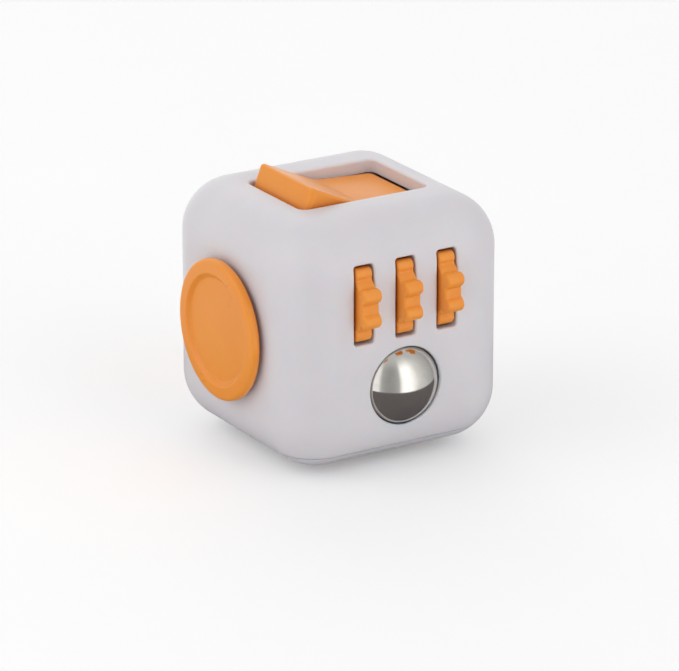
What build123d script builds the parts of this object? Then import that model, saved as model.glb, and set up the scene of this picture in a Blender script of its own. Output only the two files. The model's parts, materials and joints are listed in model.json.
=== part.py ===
"""Fidget cube: a 33 mm desk toy with a different small mechanism on each face.

Front (-Y): three lobed gears and a clicking steel ball.  Left (-X): gliding joystick pad.
Top (+Z): rocker switch.  Back (+Y): spinning dial.  Right (+X): hollow thumb rest.
Bottom (-Z): five push buttons, on whose flat tips the cube rests at z = 0.
"""
import os
from math import cos, radians, sin

from build123d import *

os.makedirs("parts", exist_ok=True)

# ---------------------------------------------------------------- driving dimensions (mm)
CUBE = 33.0                 # edge length of the white body
EDGE_RADIUS = 7.0           # round-over of every edge and corner
WALL = 1.8
BUTTON_PROUD = 1.0          # how far the buttons stand below the bottom face
SLACK = 0.05                # running clearance of guided plastic parts
PIN_SLACK = 0.025           # radial running clearance on a steel pin

HALF = CUBE / 2
INNER = HALF - WALL
BOTTOM = BUTTON_PROUD
MID = BOTTOM + HALF
TOP = BOTTOM + CUBE
INNER_RADIUS = EDGE_RADIUS - WALL

# bottom cover
COVER_TOP = BOTTOM + 2.2    # parting plane between the cover and the main shell
COVER_FACE = 1.4            # thickness of the cover around the buttons
COVER_POCKET = 21.6
COVER_POCKET_RADIUS = 3.6
PEG_PLACE = 10.9
PEG_RADIUS = 1.0
PEG_LENGTH = 3.4
PEG_BOSS_RADIUS = 2.2
PEG_BOSS_TOP = 8.6

# screws
SCREW_RADIUS = 0.7
SCREW_LENGTH = 3.2
SCREW_HEAD_RADIUS = 1.3
SCREW_HEAD_HEIGHT = 0.7
SCREW_SLOT_WIDTH = 0.3
SCREW_SLOT_DEPTH = 0.3
BOSS_RADIUS = 1.8

# gears
GEAR_PITCH = 6.15
GEAR_HEIGHT = 6.0           # axle above the cube's centre
GEAR_DEPTH = 2.6            # axle behind the front face
GEAR_LOBES = 8
LOBE_CENTRE = 4.3
LOBE_RADIUS = 0.95
GEAR_CORE_RADIUS = 4.15
LOBE_BLEND = 0.4
GEAR_WIDTH = 2.5
GEAR_TIP_RADIUS = LOBE_CENTRE + LOBE_RADIUS
AXLE_RADIUS = 0.7
AXLE_LENGTH = 20.4
GEAR_SLOT_WIDTH = 2.95
GEAR_SLOT_LENGTH = 10.5
GEAR_SLOT_CORNER = 0.45
RIM_SOFTENING = 0.25        # softened rim of each opening
GEAR_Y = -HALF + GEAR_DEPTH
GEAR_Z = MID + GEAR_HEIGHT

# gear bracket and its click spring
CHEEK_THICKNESS = 1.3
CHEEK_HEIGHT = 4.4
CHEEK_GAP = 0.15            # air between the cheeks and the front wall
BRACKET_THICKNESS = 1.2
BRACKET_GAP = 0.4           # air between the lobes and the bracket's plate
BRACKET_Y = GEAR_Y + GEAR_TIP_RADIUS + BRACKET_GAP
BRACKET_BELOW = 3.3         # plate below and above the axle
BRACKET_ABOVE = 4.9
BRACKET_HALF_WIDTH = 10.8
LEG_INNER = 7.8
BRACKET_SCREW_X = 9.3
BRACKET_SCREW_Z = MID - 1.9  # just above the ears of the ball housing
SPRING_THICKNESS = 0.2
FINGER_WIDTH = 1.6
FINGER_LENGTH = 6.2
FINGER_BAR_HEIGHT = 1.0     # bar that joins the three fingers
FINGER_BEAD = 0.6           # radius of the bead that drops between two lobes

# ball
BALL_RADIUS = 6.0
BALL_DEPTH = 3.6            # ball centre behind the front face
BALL_DROP = 5.86            # ball centre below the cube's centre
BALL_OPENING_RADIUS = 5.38  # round opening in the front face
BALL_OPENING_LIP = 0.7      # straight part of the opening, behind the face
BALL_OPENING_RIM = 0.12     # softened rim of the opening
BALL_RELIEF_SPHERE = 6.55   # spherical relief behind the lip
COLLAR_INNER_SPHERE = 6.06
COLLAR_OUTER_SPHERE = 6.42
COLLAR_SETBACK = 0.8        # front of the collar behind the face, just clear of the lip
CARRIER_RADIUS = 7.0        # outside of the ball's cup and collar
CARRIER_FLAT = 6.4          # flats above and below on cup and collar, from the ball's centre
CUP_SPHERE = 6.1
CUP_FLOOR = 0.6
WASHER_RADIUS = 4.95
WASHER_BORE = 2.5
WASHER_FRONT = 4.0
WASHER_SPHERE = 6.04
BALL_TRAVEL = 0.7
HOUSING_BORE = 7.1
HOUSING_RADIUS = 8.0
HOUSING_FLOOR = 0.7
HOUSING_EAR_HALF = 11.9
HOUSING_EAR_HEIGHT = 3.2
HOUSING_SCREW_X = 10.1
HOUSING_SCREW_Z = BOTTOM + 10.8
HOUSING_EAR_Y = -HALF + 4.3
HOUSING_EAR_THICKNESS = 1.0
BALL_DOME_RADIUS = 3.6
DOME_THICKNESS = 0.15
DOME_ROOM = 0.3             # left over behind the carrier when it is pushed in
DOME_SHOULDER = 0.6         # share of a dome's radius and height where its arc passes
BALL_Y = -HALF + BALL_DEPTH
BALL_Z = MID - BALL_DROP
BALL_CENTRE = (0, BALL_Y, BALL_Z)
CARRIER_HEIGHT = 2 * CARRIER_FLAT
HOUSING_HEIGHT = CARRIER_HEIGHT + 2 * SLACK

# joystick
PAD_RADIUS = 9.25
PAD_GAP = 0.5               # air between the pad and the shell
PAD_PROUD = 1.9             # pad rim above the left face
PAD_DISH_RADIUS = 7.4
PAD_DISH_DEPTH = 0.55
PAD_EDGE = 0.55
STEM_RADIUS = 2.5
STEM_END = 3.3              # inner end of the stem, behind the left face
GLIDE_TRAVEL = 1.5
STEM_HOLE_RADIUS = 4.8
SLIDER_X = -INNER + 0.2
SLIDER_THICKNESS = 1.2
SLIDER_HALF_WIDTH = 7.0
SLIDER_HALF_HEIGHT = 6.4
RAIL_THICKNESS = 1.4
RAIL_HEIGHT = 1.4           # rails stop short of the retainer, which glides over them
RETAINER_RADIUS = 5.5
RETAINER_THICKNESS = 1.0
CUSHION_LENGTH = 1.4

# rocker switch
ROCKER_HALF_LENGTH = 9.2
ROCKER_HALF_WIDTH = 6.6
ROCKER_GAP = 0.3
ROCKER_PIN_DEPTH = 2.6      # pin below the top face
ROCKER_TILT = 14.0          # degrees either side of level
ROCKER_END_RISE = 3.1       # top of the rocker's ends above the pin, when level
ROCKER_MIDDLE_RISE = 1.5
ROCKER_BELLY = 1.0          # underside below the pin
ROCKER_CORNER = 0.8
WELL_DEPTH = 4.0            # cut through the top wall
KEEL_LENGTH = 4.1
KEEL_HALF_WIDTH = 1.2
KEEL_TIP_HALF = 0.4
KEEL_HALF_DEPTH = 2.0
ROCKER_HUB_RADIUS = 1.4
ROCKER_END_TAPER = 0.5       # the ends lean in by this much at the top
ROCKER_EDGE = 0.35
PIN_RADIUS = 0.8
LUG_THICKNESS = 1.4
LUG_HALF_WIDTH = 2.4
LUG_DROP = 2.0              # lug below the pin's centre
LEAF_HALF_LENGTH = 12.1
LEAF_HALF_WIDTH = 1.5
LEAF_THICKNESS = 0.3
KEEL_TO_LEAF = 0.45
LEAF_TOP = TOP - ROCKER_PIN_DEPTH - KEEL_LENGTH - KEEL_TO_LEAF
LEAF_BUMP_HEIGHT = 0.55
LEAF_BUMP_HALF = 2.2
LEAF_POST_X = 11.3
LEAF_POST_HALF = 0.85
ROCKER_PIN_Z = TOP - ROCKER_PIN_DEPTH

# dial
DIAL_RADIUS = 8.5
DIAL_RECESS_RADIUS = 8.8
DIAL_RECESS_DEPTH = 0.8
DIAL_PROUD = 1.1
DIAL_EDGE = 0.5
DIAL_DISH_RADIUS = 7.3
DIAL_DISH_DEPTH = 0.5
NUB_RADIUS = 1.7
NUB_PLACE = 4.9
NUB_HEIGHT = 1.3
HUB_RADIUS = 2.5
HUB_END = INNER - 0.9
DIAL_WASHER_RADIUS = 4.2
DIAL_WASHER_THICKNESS = 0.25
DIAL_RETAINER_RADIUS = 4.6
DIAL_RETAINER_THICKNESS = 0.9

# thumb rest
DISH_HALF_HEIGHT = 8.2
DISH_HALF_WIDTH = 6.4
DISH_DEPTH = 1.7
DISH_PAD_THICKNESS = 1.5
DISH_PAD_MARGIN = 1.2
DISH_TOOL_REACH = 1.0       # the cutting shape stands out this far beyond the right face
THUMB_RIM = 0.8

# buttons
BUTTON_PLACE = 5.6
BUTTON_RADIUS = 2.4
BUTTON_EDGE = 0.5
BUTTON_FLANGE_RADIUS = 3.0
BUTTON_FLANGE = 0.5
BOARD_HALF = 9.8
BOARD_BOTTOM = BOTTOM + 2.9
BOARD_THICKNESS = 0.8
BOARD_SCREW_PLACE = 8.3
BOARD_BOSS_RADIUS = 1.3
CLICK_DOME_RADIUS = 2.6
SILENT_PAD_RADIUS = 1.9
SILENT_PAD_TIP = 1.1


# ---------------------------------------------------------------- shared shapes
def facing_out(x, y, z, direction):
    """A plane at a point, with its normal along the given direction."""
    return Plane(origin=(x, y, z), z_dir=direction)


def depth_section(y, z):
    """A plane for turned shapes about a Y axis: local x is the radius, local y runs along +Y."""
    return Plane(origin=(0, y, z), x_dir=(1, 0, 0), z_dir=(0, 0, 1))


def height_section(x, y):
    """A plane for turned shapes about a Z axis: local x is the radius, local y runs along +Z."""
    return Plane(origin=(x, y, 0), x_dir=(1, 0, 0), z_dir=(0, -1, 0))


def screws_at(seats):
    """Pan-head screws whose heads rest on the seat planes, inside the open part."""
    with Locations(*seats):
        Cylinder(SCREW_RADIUS, SCREW_LENGTH, align=(Align.CENTER, Align.CENTER, Align.MAX))
        Cylinder(SCREW_HEAD_RADIUS, SCREW_HEAD_HEIGHT, align=(Align.CENTER, Align.CENTER, Align.MIN))
    slot_seats = [seat.offset(SCREW_HEAD_HEIGHT) for seat in seats]
    with Locations(*slot_seats):
        Box(2 * SCREW_HEAD_RADIUS, SCREW_SLOT_WIDTH, 2 * SCREW_SLOT_DEPTH, mode=Mode.SUBTRACT)


def pilot_holes(seats, depth=SCREW_LENGTH):
    """Screw holes that run behind the seat planes, inside the open part."""
    with Locations(*seats):
        Cylinder(
            SCREW_RADIUS, depth, align=(Align.CENTER, Align.CENTER, Align.MAX), mode=Mode.SUBTRACT
        )


def soften_rim(shell, radius):
    """Round the outer rim of the opening just cut through the front wall of the open shell."""
    new_edges = shell.edges(Select.LAST)
    rim = new_edges.filter_by(lambda edge: edge.bounding_box().max.Y < -INNER - WALL / 2)
    fillet(rim, radius)


def dome_arc(radius, height):
    """Arc from the top of a dome, through its shoulder, to its rim."""
    shoulder = (radius * DOME_SHOULDER, height * DOME_SHOULDER)
    return ThreePointArc((0, height), shoulder, (radius, 0))


def dome_profile(radius, height, thickness):
    """Half section of a thin arched dome: the rim lies at local y = 0 and the top at y = height."""
    with BuildLine() as profile:
        outer = dome_arc(radius, height)
        inner = dome_arc(radius - thickness, height - thickness)
        Line(outer @ 0, inner @ 0)
        Line(outer @ 1, inner @ 1)
    return profile.edges()


# ---------------------------------------------------------------- body blanks
with BuildPart() as body_blank:
    with Locations((0, 0, MID)):
        Box(CUBE, CUBE, CUBE)
    fillet(body_blank.edges(), EDGE_RADIUS)

with BuildPart() as cavity_blank:
    with Locations((0, 0, MID)):
        Box(2 * INNER, 2 * INNER, 2 * INNER)
    fillet(cavity_blank.edges(), INNER_RADIUS)

# ---------------------------------------------------------------- main shell
bracket_seats = [
    facing_out(side * BRACKET_SCREW_X, BRACKET_Y, BRACKET_SCREW_Z, (0, 1, 0)) for side in (-1, 1)
]
housing_seats = [
    facing_out(side * HOUSING_SCREW_X, HOUSING_EAR_Y, HOUSING_SCREW_Z, (0, 1, 0)) for side in (-1, 1)
]
leaf_seats = [
    facing_out(side * LEAF_POST_X, 0, LEAF_TOP, (0, 0, -1)) for side in (-1, 1)
]
peg_places = [(x, y) for x in (-PEG_PLACE, PEG_PLACE) for y in (-PEG_PLACE, PEG_PLACE)]
LUG_BOTTOM = ROCKER_PIN_Z - LUG_DROP
LUG_INNER = ROCKER_HALF_WIDTH + ROCKER_GAP

with BuildPart() as shell_ribs:
    # screw bosses on the front wall, reaching back to the bracket and to the ball housing
    with Locations(*bracket_seats, *housing_seats):
        Cylinder(BOSS_RADIUS, CUBE, align=(Align.CENTER, Align.CENTER, Align.MAX))
    # sockets for the cover's pegs
    with BuildSketch(Plane.XY.offset(COVER_TOP)):
        with Locations(*peg_places):
            Circle(PEG_BOSS_RADIUS)
    extrude(amount=PEG_BOSS_TOP - COVER_TOP)
    # lugs that carry the rocker's pin
    with BuildSketch(Plane.XY.offset(LUG_BOTTOM)):
        with Locations((0, LUG_INNER + LUG_THICKNESS / 2), (0, -LUG_INNER - LUG_THICKNESS / 2)):
            Rectangle(2 * LUG_HALF_WIDTH, LUG_THICKNESS)
    extrude(amount=TOP - LUG_BOTTOM)
    # posts that carry the rocker's leaf spring
    with BuildSketch(Plane.XY.offset(LEAF_TOP)):
        with Locations((LEAF_POST_X, 0), (-LEAF_POST_X, 0)):
            Rectangle(2 * LEAF_POST_HALF, 2 * LEAF_HALF_WIDTH)
    extrude(amount=TOP - LEAF_TOP)
    # rails above and below the joystick's slider
    with BuildSketch(Plane.YZ.offset(-HALF)):
        rail_z = SLIDER_HALF_HEIGHT + SLACK + RAIL_THICKNESS / 2
        with Locations((0, MID + rail_z), (0, MID - rail_z)):
            Rectangle(2 * (SLIDER_HALF_WIDTH + GLIDE_TRAVEL), RAIL_THICKNESS)
    extrude(amount=WALL + RAIL_HEIGHT)
    # thick pad behind the thumb rest
    with BuildSketch(Plane.YZ.offset(INNER - DISH_PAD_THICKNESS)):
        with Locations((0, MID)):
            Ellipse(DISH_HALF_WIDTH + DISH_PAD_MARGIN, DISH_HALF_HEIGHT + DISH_PAD_MARGIN)
    extrude(amount=WALL + DISH_PAD_THICKNESS)
    add(body_blank.part, mode=Mode.INTERSECT)

# the thumb rest is curved more tightly across its width than along its height
DISH_ARC = (DISH_HALF_WIDTH**2 + DISH_DEPTH**2) / (2 * DISH_DEPTH)
DISH_SWEEP = (DISH_HALF_HEIGHT**2 + DISH_DEPTH**2) / (2 * DISH_DEPTH)
with BuildPart() as thumb_hollow:
    with BuildSketch(Plane.XY.offset(MID)):
        with Locations((HALF - DISH_DEPTH + DISH_ARC, 0)):
            Circle(DISH_ARC)
        with Locations((0, 0)):
            Rectangle(
                HALF + DISH_TOOL_REACH,
                CUBE,
                align=(Align.MIN, Align.CENTER),
                mode=Mode.INTERSECT,
            )
    revolve(axis=Axis((HALF - DISH_DEPTH + DISH_SWEEP, 0, MID), (0, 1, 0)))

with BuildPart() as ball_relief:
    with Locations(BALL_CENTRE):
        Sphere(BALL_RELIEF_SPHERE)
    split(bisect_by=Plane.XZ.offset(HALF - BALL_OPENING_LIP), keep=Keep.BOTTOM)

with BuildPart() as housing_room:
    # space behind the front wall for the ball's housing and its flange
    with Locations(facing_out(0, -INNER, BALL_Z, (0, 1, 0))):
        Cylinder(HOUSING_RADIUS + SLACK, HALF, align=(Align.CENTER, Align.CENTER, Align.MIN))
    with Locations(BALL_CENTRE):
        Box(CUBE, CUBE, HOUSING_HEIGHT + 2 * SLACK, mode=Mode.INTERSECT)

with BuildPart() as main_shell:
    add(body_blank.part)
    add(cavity_blank.part, mode=Mode.SUBTRACT)
    add(shell_ribs.part)
    split(bisect_by=Plane.XY.offset(COVER_TOP), keep=Keep.TOP)
    # opening that the bottom cover closes
    with BuildSketch(Plane.XY.offset(COVER_TOP)):
        RectangleRounded(COVER_POCKET, COVER_POCKET, COVER_POCKET_RADIUS)
    extrude(amount=WALL, mode=Mode.SUBTRACT)
    # three gear slots
    with BuildSketch(Plane.XZ.offset(HALF)) as slots:
        with Locations((0, GEAR_Z)):
            with GridLocations(GEAR_PITCH, 0, 3, 1):
                RectangleRounded(GEAR_SLOT_WIDTH, GEAR_SLOT_LENGTH, GEAR_SLOT_CORNER)
    extrude(amount=-2 * WALL, mode=Mode.SUBTRACT)
    soften_rim(main_shell, RIM_SOFTENING)
    # round opening for the ball, relieved behind its lip
    with Locations(facing_out(0, -HALF, BALL_Z, (0, 1, 0))):
        Cylinder(BALL_OPENING_RADIUS, 3 * WALL, mode=Mode.SUBTRACT)
    soften_rim(main_shell, BALL_OPENING_RIM)
    add(ball_relief.part, mode=Mode.SUBTRACT)
    add(housing_room.part, mode=Mode.SUBTRACT)
    # stem hole of the joystick
    with Locations(facing_out(-HALF, 0, MID, (1, 0, 0))):
        Cylinder(STEM_HOLE_RADIUS, 3 * WALL, mode=Mode.SUBTRACT)
    # dial recess and hub bearing
    with Locations(facing_out(0, HALF, MID, (0, 1, 0))):
        Cylinder(DIAL_RECESS_RADIUS, 2 * DIAL_RECESS_DEPTH, mode=Mode.SUBTRACT)
        Cylinder(HUB_RADIUS + SLACK, 3 * WALL, mode=Mode.SUBTRACT)
    # well for the rocker
    with BuildSketch(Plane.XY.offset(TOP)):
        RectangleRounded(
            2 * (ROCKER_HALF_LENGTH + ROCKER_GAP), 2 * LUG_INNER, ROCKER_CORNER + ROCKER_GAP
        )
    extrude(amount=-WELL_DEPTH, mode=Mode.SUBTRACT)
    # pin holes through both lugs
    with Locations(facing_out(0, 0, ROCKER_PIN_Z, (0, 1, 0))):
        Cylinder(PIN_RADIUS, 2 * (LUG_INNER + LUG_THICKNESS), mode=Mode.SUBTRACT)
    # peg sockets and screw holes
    with BuildSketch(Plane.XY.offset(COVER_TOP)):
        with Locations(*peg_places):
            Circle(PEG_RADIUS)
    extrude(amount=PEG_LENGTH + SLACK, mode=Mode.SUBTRACT)
    pilot_holes(bracket_seats)
    pilot_holes(housing_seats)
    pilot_holes(leaf_seats)
    add(thumb_hollow.part, mode=Mode.SUBTRACT)
    thumb_rim = main_shell.edges(Select.LAST).group_by(Axis.X)[-1]
    fillet(thumb_rim, THUMB_RIM)
main_shell.part.label = "main_shell"
export_step(main_shell.part, "parts/main_shell.step")

# ---------------------------------------------------------------- bottom cover
button_places = {
    "button_centre": (0, 0),
    "button_front_left": (-BUTTON_PLACE, -BUTTON_PLACE),
    "button_front_right": (BUTTON_PLACE, -BUTTON_PLACE),
    "button_rear_left": (-BUTTON_PLACE, BUTTON_PLACE),
    "button_rear_right": (BUTTON_PLACE, BUTTON_PLACE),
}
board_screw_places = [(-BOARD_SCREW_PLACE, 0), (BOARD_SCREW_PLACE, 0), (0, BOARD_SCREW_PLACE)]
board_seats = [
    facing_out(x, y, BOARD_BOTTOM + BOARD_THICKNESS, (0, 0, 1)) for x, y in board_screw_places
]

with BuildPart() as bottom_cover:
    add(body_blank.part)
    split(bisect_by=Plane.XY.offset(COVER_TOP), keep=Keep.BOTTOM)
    with BuildSketch(Plane.XY.offset(COVER_TOP)):
        RectangleRounded(COVER_POCKET, COVER_POCKET, COVER_POCKET_RADIUS)
    extrude(amount=BOTTOM + COVER_FACE - COVER_TOP, mode=Mode.SUBTRACT)
    with BuildSketch(Plane.XY.offset(BOTTOM + COVER_FACE)):
        with Locations(*board_screw_places):
            Circle(BOARD_BOSS_RADIUS)
    extrude(amount=BOARD_BOTTOM - BOTTOM - COVER_FACE)
    with BuildSketch(Plane.XY.offset(COVER_TOP)):
        with Locations(*peg_places):
            Circle(PEG_RADIUS)
    extrude(amount=PEG_LENGTH)
    with BuildSketch(Plane.XY.offset(BOTTOM)):
        with Locations(*button_places.values()):
            Circle(BUTTON_RADIUS + SLACK)
    extrude(amount=COVER_FACE, mode=Mode.SUBTRACT)
    pilot_holes(board_seats)
bottom_cover.part.label = "bottom_cover"
export_step(bottom_cover.part, "parts/bottom_cover.step")

# ---------------------------------------------------------------- buttons
FLANGE_BOTTOM = BOTTOM + COVER_FACE + SLACK
FLANGE_TOP = FLANGE_BOTTOM + BUTTON_FLANGE
SWITCH_HEIGHT = BOARD_BOTTOM - FLANGE_TOP - SLACK

for button_name, (x, y) in button_places.items():
    with BuildPart() as button:
        with BuildSketch(height_section(x, y)):
            with BuildLine():
                Polyline(
                    (0, 0),
                    (BUTTON_RADIUS, 0),
                    (BUTTON_RADIUS, FLANGE_BOTTOM),
                    (BUTTON_FLANGE_RADIUS, FLANGE_BOTTOM),
                    (BUTTON_FLANGE_RADIUS, FLANGE_TOP),
                    (0, FLANGE_TOP),
                    close=True,
                )
            make_face()
        revolve(axis=Axis((x, y, 0), (0, 0, 1)))
        fillet(button.edges().group_by(Axis.Z)[0], BUTTON_EDGE)
    button.part.label = button_name
    export_step(button.part, f"parts/{button_name}.step")

click_places = {
    "click_dome_centre": button_places["button_centre"],
    "click_dome_front": button_places["button_front_left"],
    "click_dome_rear": button_places["button_rear_right"],
}
for dome_name, (x, y) in click_places.items():
    with BuildPart() as click_dome:
        with BuildSketch(Plane(origin=(x, y, BOARD_BOTTOM), x_dir=(1, 0, 0), z_dir=(0, 1, 0))):
            make_face(dome_profile(CLICK_DOME_RADIUS, SWITCH_HEIGHT, DOME_THICKNESS))
        revolve(axis=Axis((x, y, 0), (0, 0, 1)))
    click_dome.part.label = dome_name
    export_step(click_dome.part, f"parts/{dome_name}.step")

silent_places = {
    "silent_pad_front": button_places["button_front_right"],
    "silent_pad_rear": button_places["button_rear_left"],
}
for pad_name, (x, y) in silent_places.items():
    with BuildPart() as silent_pad:
        with BuildSketch(height_section(x, y)):
            with BuildLine():
                Polyline(
                    (0, BOARD_BOTTOM),
                    (SILENT_PAD_RADIUS, BOARD_BOTTOM),
                    (SILENT_PAD_TIP, BOARD_BOTTOM - SWITCH_HEIGHT),
                    (0, BOARD_BOTTOM - SWITCH_HEIGHT),
                    close=True,
                )
            make_face()
        revolve(axis=Axis((x, y, 0), (0, 0, 1)))
    silent_pad.part.label = pad_name
    export_step(silent_pad.part, f"parts/{pad_name}.step")

with BuildPart() as button_board:
    with BuildSketch(Plane.XY.offset(BOARD_BOTTOM)):
        RectangleRounded(2 * BOARD_HALF, 2 * BOARD_HALF, COVER_POCKET_RADIUS)
    extrude(amount=BOARD_THICKNESS)
    pilot_holes(board_seats)
button_board.part.label = "button_board"
export_step(button_board.part, "parts/button_board.step")

with BuildPart() as button_board_screws:
    screws_at(board_seats)
button_board_screws.part.label = "button_board_screws"
export_step(button_board_screws.part, "parts/button_board_screws.step")

# ---------------------------------------------------------------- gears
gear_places = {"gear_left": -GEAR_PITCH, "gear_middle": 0, "gear_right": GEAR_PITCH}
for gear_name, x in gear_places.items():
    with BuildPart() as gear:
        with BuildSketch(Plane.YZ.offset(x - GEAR_WIDTH / 2)) as outline:
            with Locations((GEAR_Y, GEAR_Z)):
                Circle(GEAR_CORE_RADIUS)
                with PolarLocations(LOBE_CENTRE, GEAR_LOBES, start_angle=180 / GEAR_LOBES):
                    Circle(LOBE_RADIUS)
            fillet(outline.vertices(), LOBE_BLEND)
            with Locations((GEAR_Y, GEAR_Z)):
                Circle(AXLE_RADIUS + PIN_SLACK, mode=Mode.SUBTRACT)
        extrude(amount=GEAR_WIDTH)
    gear.part.label = gear_name
    export_step(gear.part, f"parts/{gear_name}.step")

with BuildPart() as gear_axle:
    with Locations(facing_out(0, GEAR_Y, GEAR_Z, (1, 0, 0))):
        Cylinder(AXLE_RADIUS, AXLE_LENGTH)
gear_axle.part.label = "gear_axle"
export_step(gear_axle.part, "parts/gear_axle.step")

with BuildPart() as gear_bracket:
    with BuildSketch(Plane.XZ.offset(-BRACKET_Y)):
        with Locations((0, GEAR_Z - BRACKET_BELOW)):
            Rectangle(
                2 * BRACKET_HALF_WIDTH,
                BRACKET_BELOW + BRACKET_ABOVE,
                align=(Align.CENTER, Align.MIN),
            )
        leg_bottom = BRACKET_SCREW_Z - BOSS_RADIUS
        leg_middle = (LEG_INNER + BRACKET_HALF_WIDTH) / 2
        with Locations((leg_middle, leg_bottom), (-leg_middle, leg_bottom)):
            Rectangle(
                BRACKET_HALF_WIDTH - LEG_INNER,
                GEAR_Z + BRACKET_ABOVE - leg_bottom,
                align=(Align.CENTER, Align.MIN),
            )
    extrude(amount=-BRACKET_THICKNESS)
    with BuildSketch(Plane.XZ.offset(-BRACKET_Y)):
        with Locations((0, GEAR_Z)):
            with GridLocations(GEAR_PITCH, 0, 4, 1):
                Rectangle(CHEEK_THICKNESS, CHEEK_HEIGHT)
    extrude(amount=BRACKET_Y + INNER - CHEEK_GAP)
    with Locations(facing_out(0, GEAR_Y, GEAR_Z, (1, 0, 0))):
        Cylinder(AXLE_RADIUS, CUBE, mode=Mode.SUBTRACT)
    bracket_screw_seats = [seat.offset(BRACKET_THICKNESS) for seat in bracket_seats]
    pilot_holes(bracket_screw_seats)
gear_bracket.part.label = "gear_bracket"
export_step(gear_bracket.part, "parts/gear_bracket.step")

with BuildPart() as gear_bracket_screws:
    screws_at(bracket_screw_seats)
gear_bracket_screws.part.label = "gear_bracket_screws"
export_step(gear_bracket_screws.part, "parts/gear_bracket_screws.step")

with BuildPart() as gear_click_spring:
    finger_top = GEAR_Z + BRACKET_ABOVE - FINGER_BAR_HEIGHT
    with BuildSketch(Plane.XZ.offset(-BRACKET_Y)):
        with Locations((0, finger_top)):
            Rectangle(
                2 * GEAR_PITCH + FINGER_WIDTH,
                FINGER_BAR_HEIGHT,
                align=(Align.CENTER, Align.MIN),
            )
            with GridLocations(GEAR_PITCH, 0, 3, 1):
                Rectangle(FINGER_WIDTH, FINGER_LENGTH, align=(Align.CENTER, Align.MAX))
    extrude(amount=SPRING_THICKNESS)
    bead_y = BRACKET_Y - SPRING_THICKNESS - FINGER_BEAD / 2
    with Locations((0, bead_y, GEAR_Z)):
        with GridLocations(GEAR_PITCH, 0, 3, 1):
            Cylinder(FINGER_BEAD, FINGER_WIDTH, rotation=(0, 90, 0))
    split(bisect_by=Plane.XZ.offset(-BRACKET_Y), keep=Keep.TOP)
gear_click_spring.part.label = "gear_click_spring"
export_step(gear_click_spring.part, "parts/gear_click_spring.step")

# ---------------------------------------------------------------- clicking ball
ball_axis = Axis(BALL_CENTRE, (0, 1, 0))

with BuildPart() as ball:
    with Locations(BALL_CENTRE):
        Sphere(BALL_RADIUS)
ball.part.label = "ball"
export_step(ball.part, "parts/ball.step")

with BuildPart() as ball_collar:
    # thin spherical lip that reaches forward round the ball from a flange behind the wall
    with BuildSketch(depth_section(BALL_Y, BALL_Z)):
        with BuildLine():
            Polyline(
                (0, COLLAR_SETBACK - BALL_DEPTH),
                (COLLAR_OUTER_SPHERE, COLLAR_SETBACK - BALL_DEPTH),
                (COLLAR_OUTER_SPHERE, 0),
                (0, 0),
                close=True,
            )
        make_face()
        Circle(COLLAR_OUTER_SPHERE, mode=Mode.INTERSECT)
        with Locations((0, 0)):
            Rectangle(CARRIER_RADIUS, BALL_DEPTH - WALL - SLACK, align=(Align.MIN, Align.MAX))
    revolve(axis=ball_axis)
    with Locations(BALL_CENTRE):
        Sphere(COLLAR_INNER_SPHERE, mode=Mode.SUBTRACT)
        Box(CUBE, CUBE, CARRIER_HEIGHT, mode=Mode.INTERSECT)
ball_collar.part.label = "ball_collar"
export_step(ball_collar.part, "parts/ball_collar.step")

CUP_REAR = CUP_SPHERE + CUP_FLOOR
with BuildPart() as ball_cup:
    with BuildSketch(depth_section(BALL_Y, BALL_Z)):
        Rectangle(CARRIER_RADIUS, CUP_REAR, align=(Align.MIN, Align.MIN))
    revolve(axis=ball_axis)
    with Locations(BALL_CENTRE):
        Sphere(CUP_SPHERE, mode=Mode.SUBTRACT)
        Box(CUBE, CUBE, CARRIER_HEIGHT, mode=Mode.INTERSECT)
    with Locations(facing_out(*BALL_CENTRE, (0, 1, 0))):
        Cylinder(
            WASHER_RADIUS + SLACK,
            CUP_SPHERE,
            align=(Align.CENTER, Align.CENTER, Align.MIN),
            mode=Mode.SUBTRACT,
        )
ball_cup.part.label = "ball_cup"
export_step(ball_cup.part, "parts/ball_cup.step")

with BuildPart() as ball_washer:
    with BuildSketch(depth_section(BALL_Y, BALL_Z)):
        with Locations((WASHER_BORE, WASHER_FRONT)):
            Rectangle(
                WASHER_RADIUS - WASHER_BORE,
                CUP_SPHERE - SLACK - WASHER_FRONT,
                align=(Align.MIN, Align.MIN),
            )
    revolve(axis=ball_axis)
    with Locations(BALL_CENTRE):
        Sphere(WASHER_SPHERE, mode=Mode.SUBTRACT)
ball_washer.part.label = "ball_washer"
export_step(ball_washer.part, "parts/ball_washer.step")

HOUSING_FRONT = -INNER + SLACK - BALL_Y
HOUSING_REAR = CUP_REAR + BALL_TRAVEL + DOME_ROOM
ear_seats = [seat.offset(HOUSING_EAR_THICKNESS) for seat in housing_seats]
with BuildPart() as ball_housing:
    with BuildSketch(depth_section(BALL_Y, BALL_Z)):
        with Locations((0, HOUSING_FRONT)):
            Rectangle(
                HOUSING_RADIUS,
                HOUSING_REAR + HOUSING_FLOOR - HOUSING_FRONT,
                align=(Align.MIN, Align.MIN),
            )
    revolve(axis=ball_axis)
    with BuildSketch(Plane.XZ.offset(-HOUSING_EAR_Y)):
        with Locations((0, HOUSING_SCREW_Z)):
            Rectangle(2 * HOUSING_EAR_HALF, HOUSING_EAR_HEIGHT)
    extrude(amount=-HOUSING_EAR_THICKNESS)
    with Locations(facing_out(0, BALL_Y + HOUSING_REAR, BALL_Z, (0, 1, 0))):
        Cylinder(
            HOUSING_BORE, CUBE, align=(Align.CENTER, Align.CENTER, Align.MAX), mode=Mode.SUBTRACT
        )
    with Locations(BALL_CENTRE):
        Box(CUBE, CUBE, HOUSING_HEIGHT, mode=Mode.INTERSECT)
    pilot_holes(ear_seats)
ball_housing.part.label = "ball_housing"
export_step(ball_housing.part, "parts/ball_housing.step")

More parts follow.
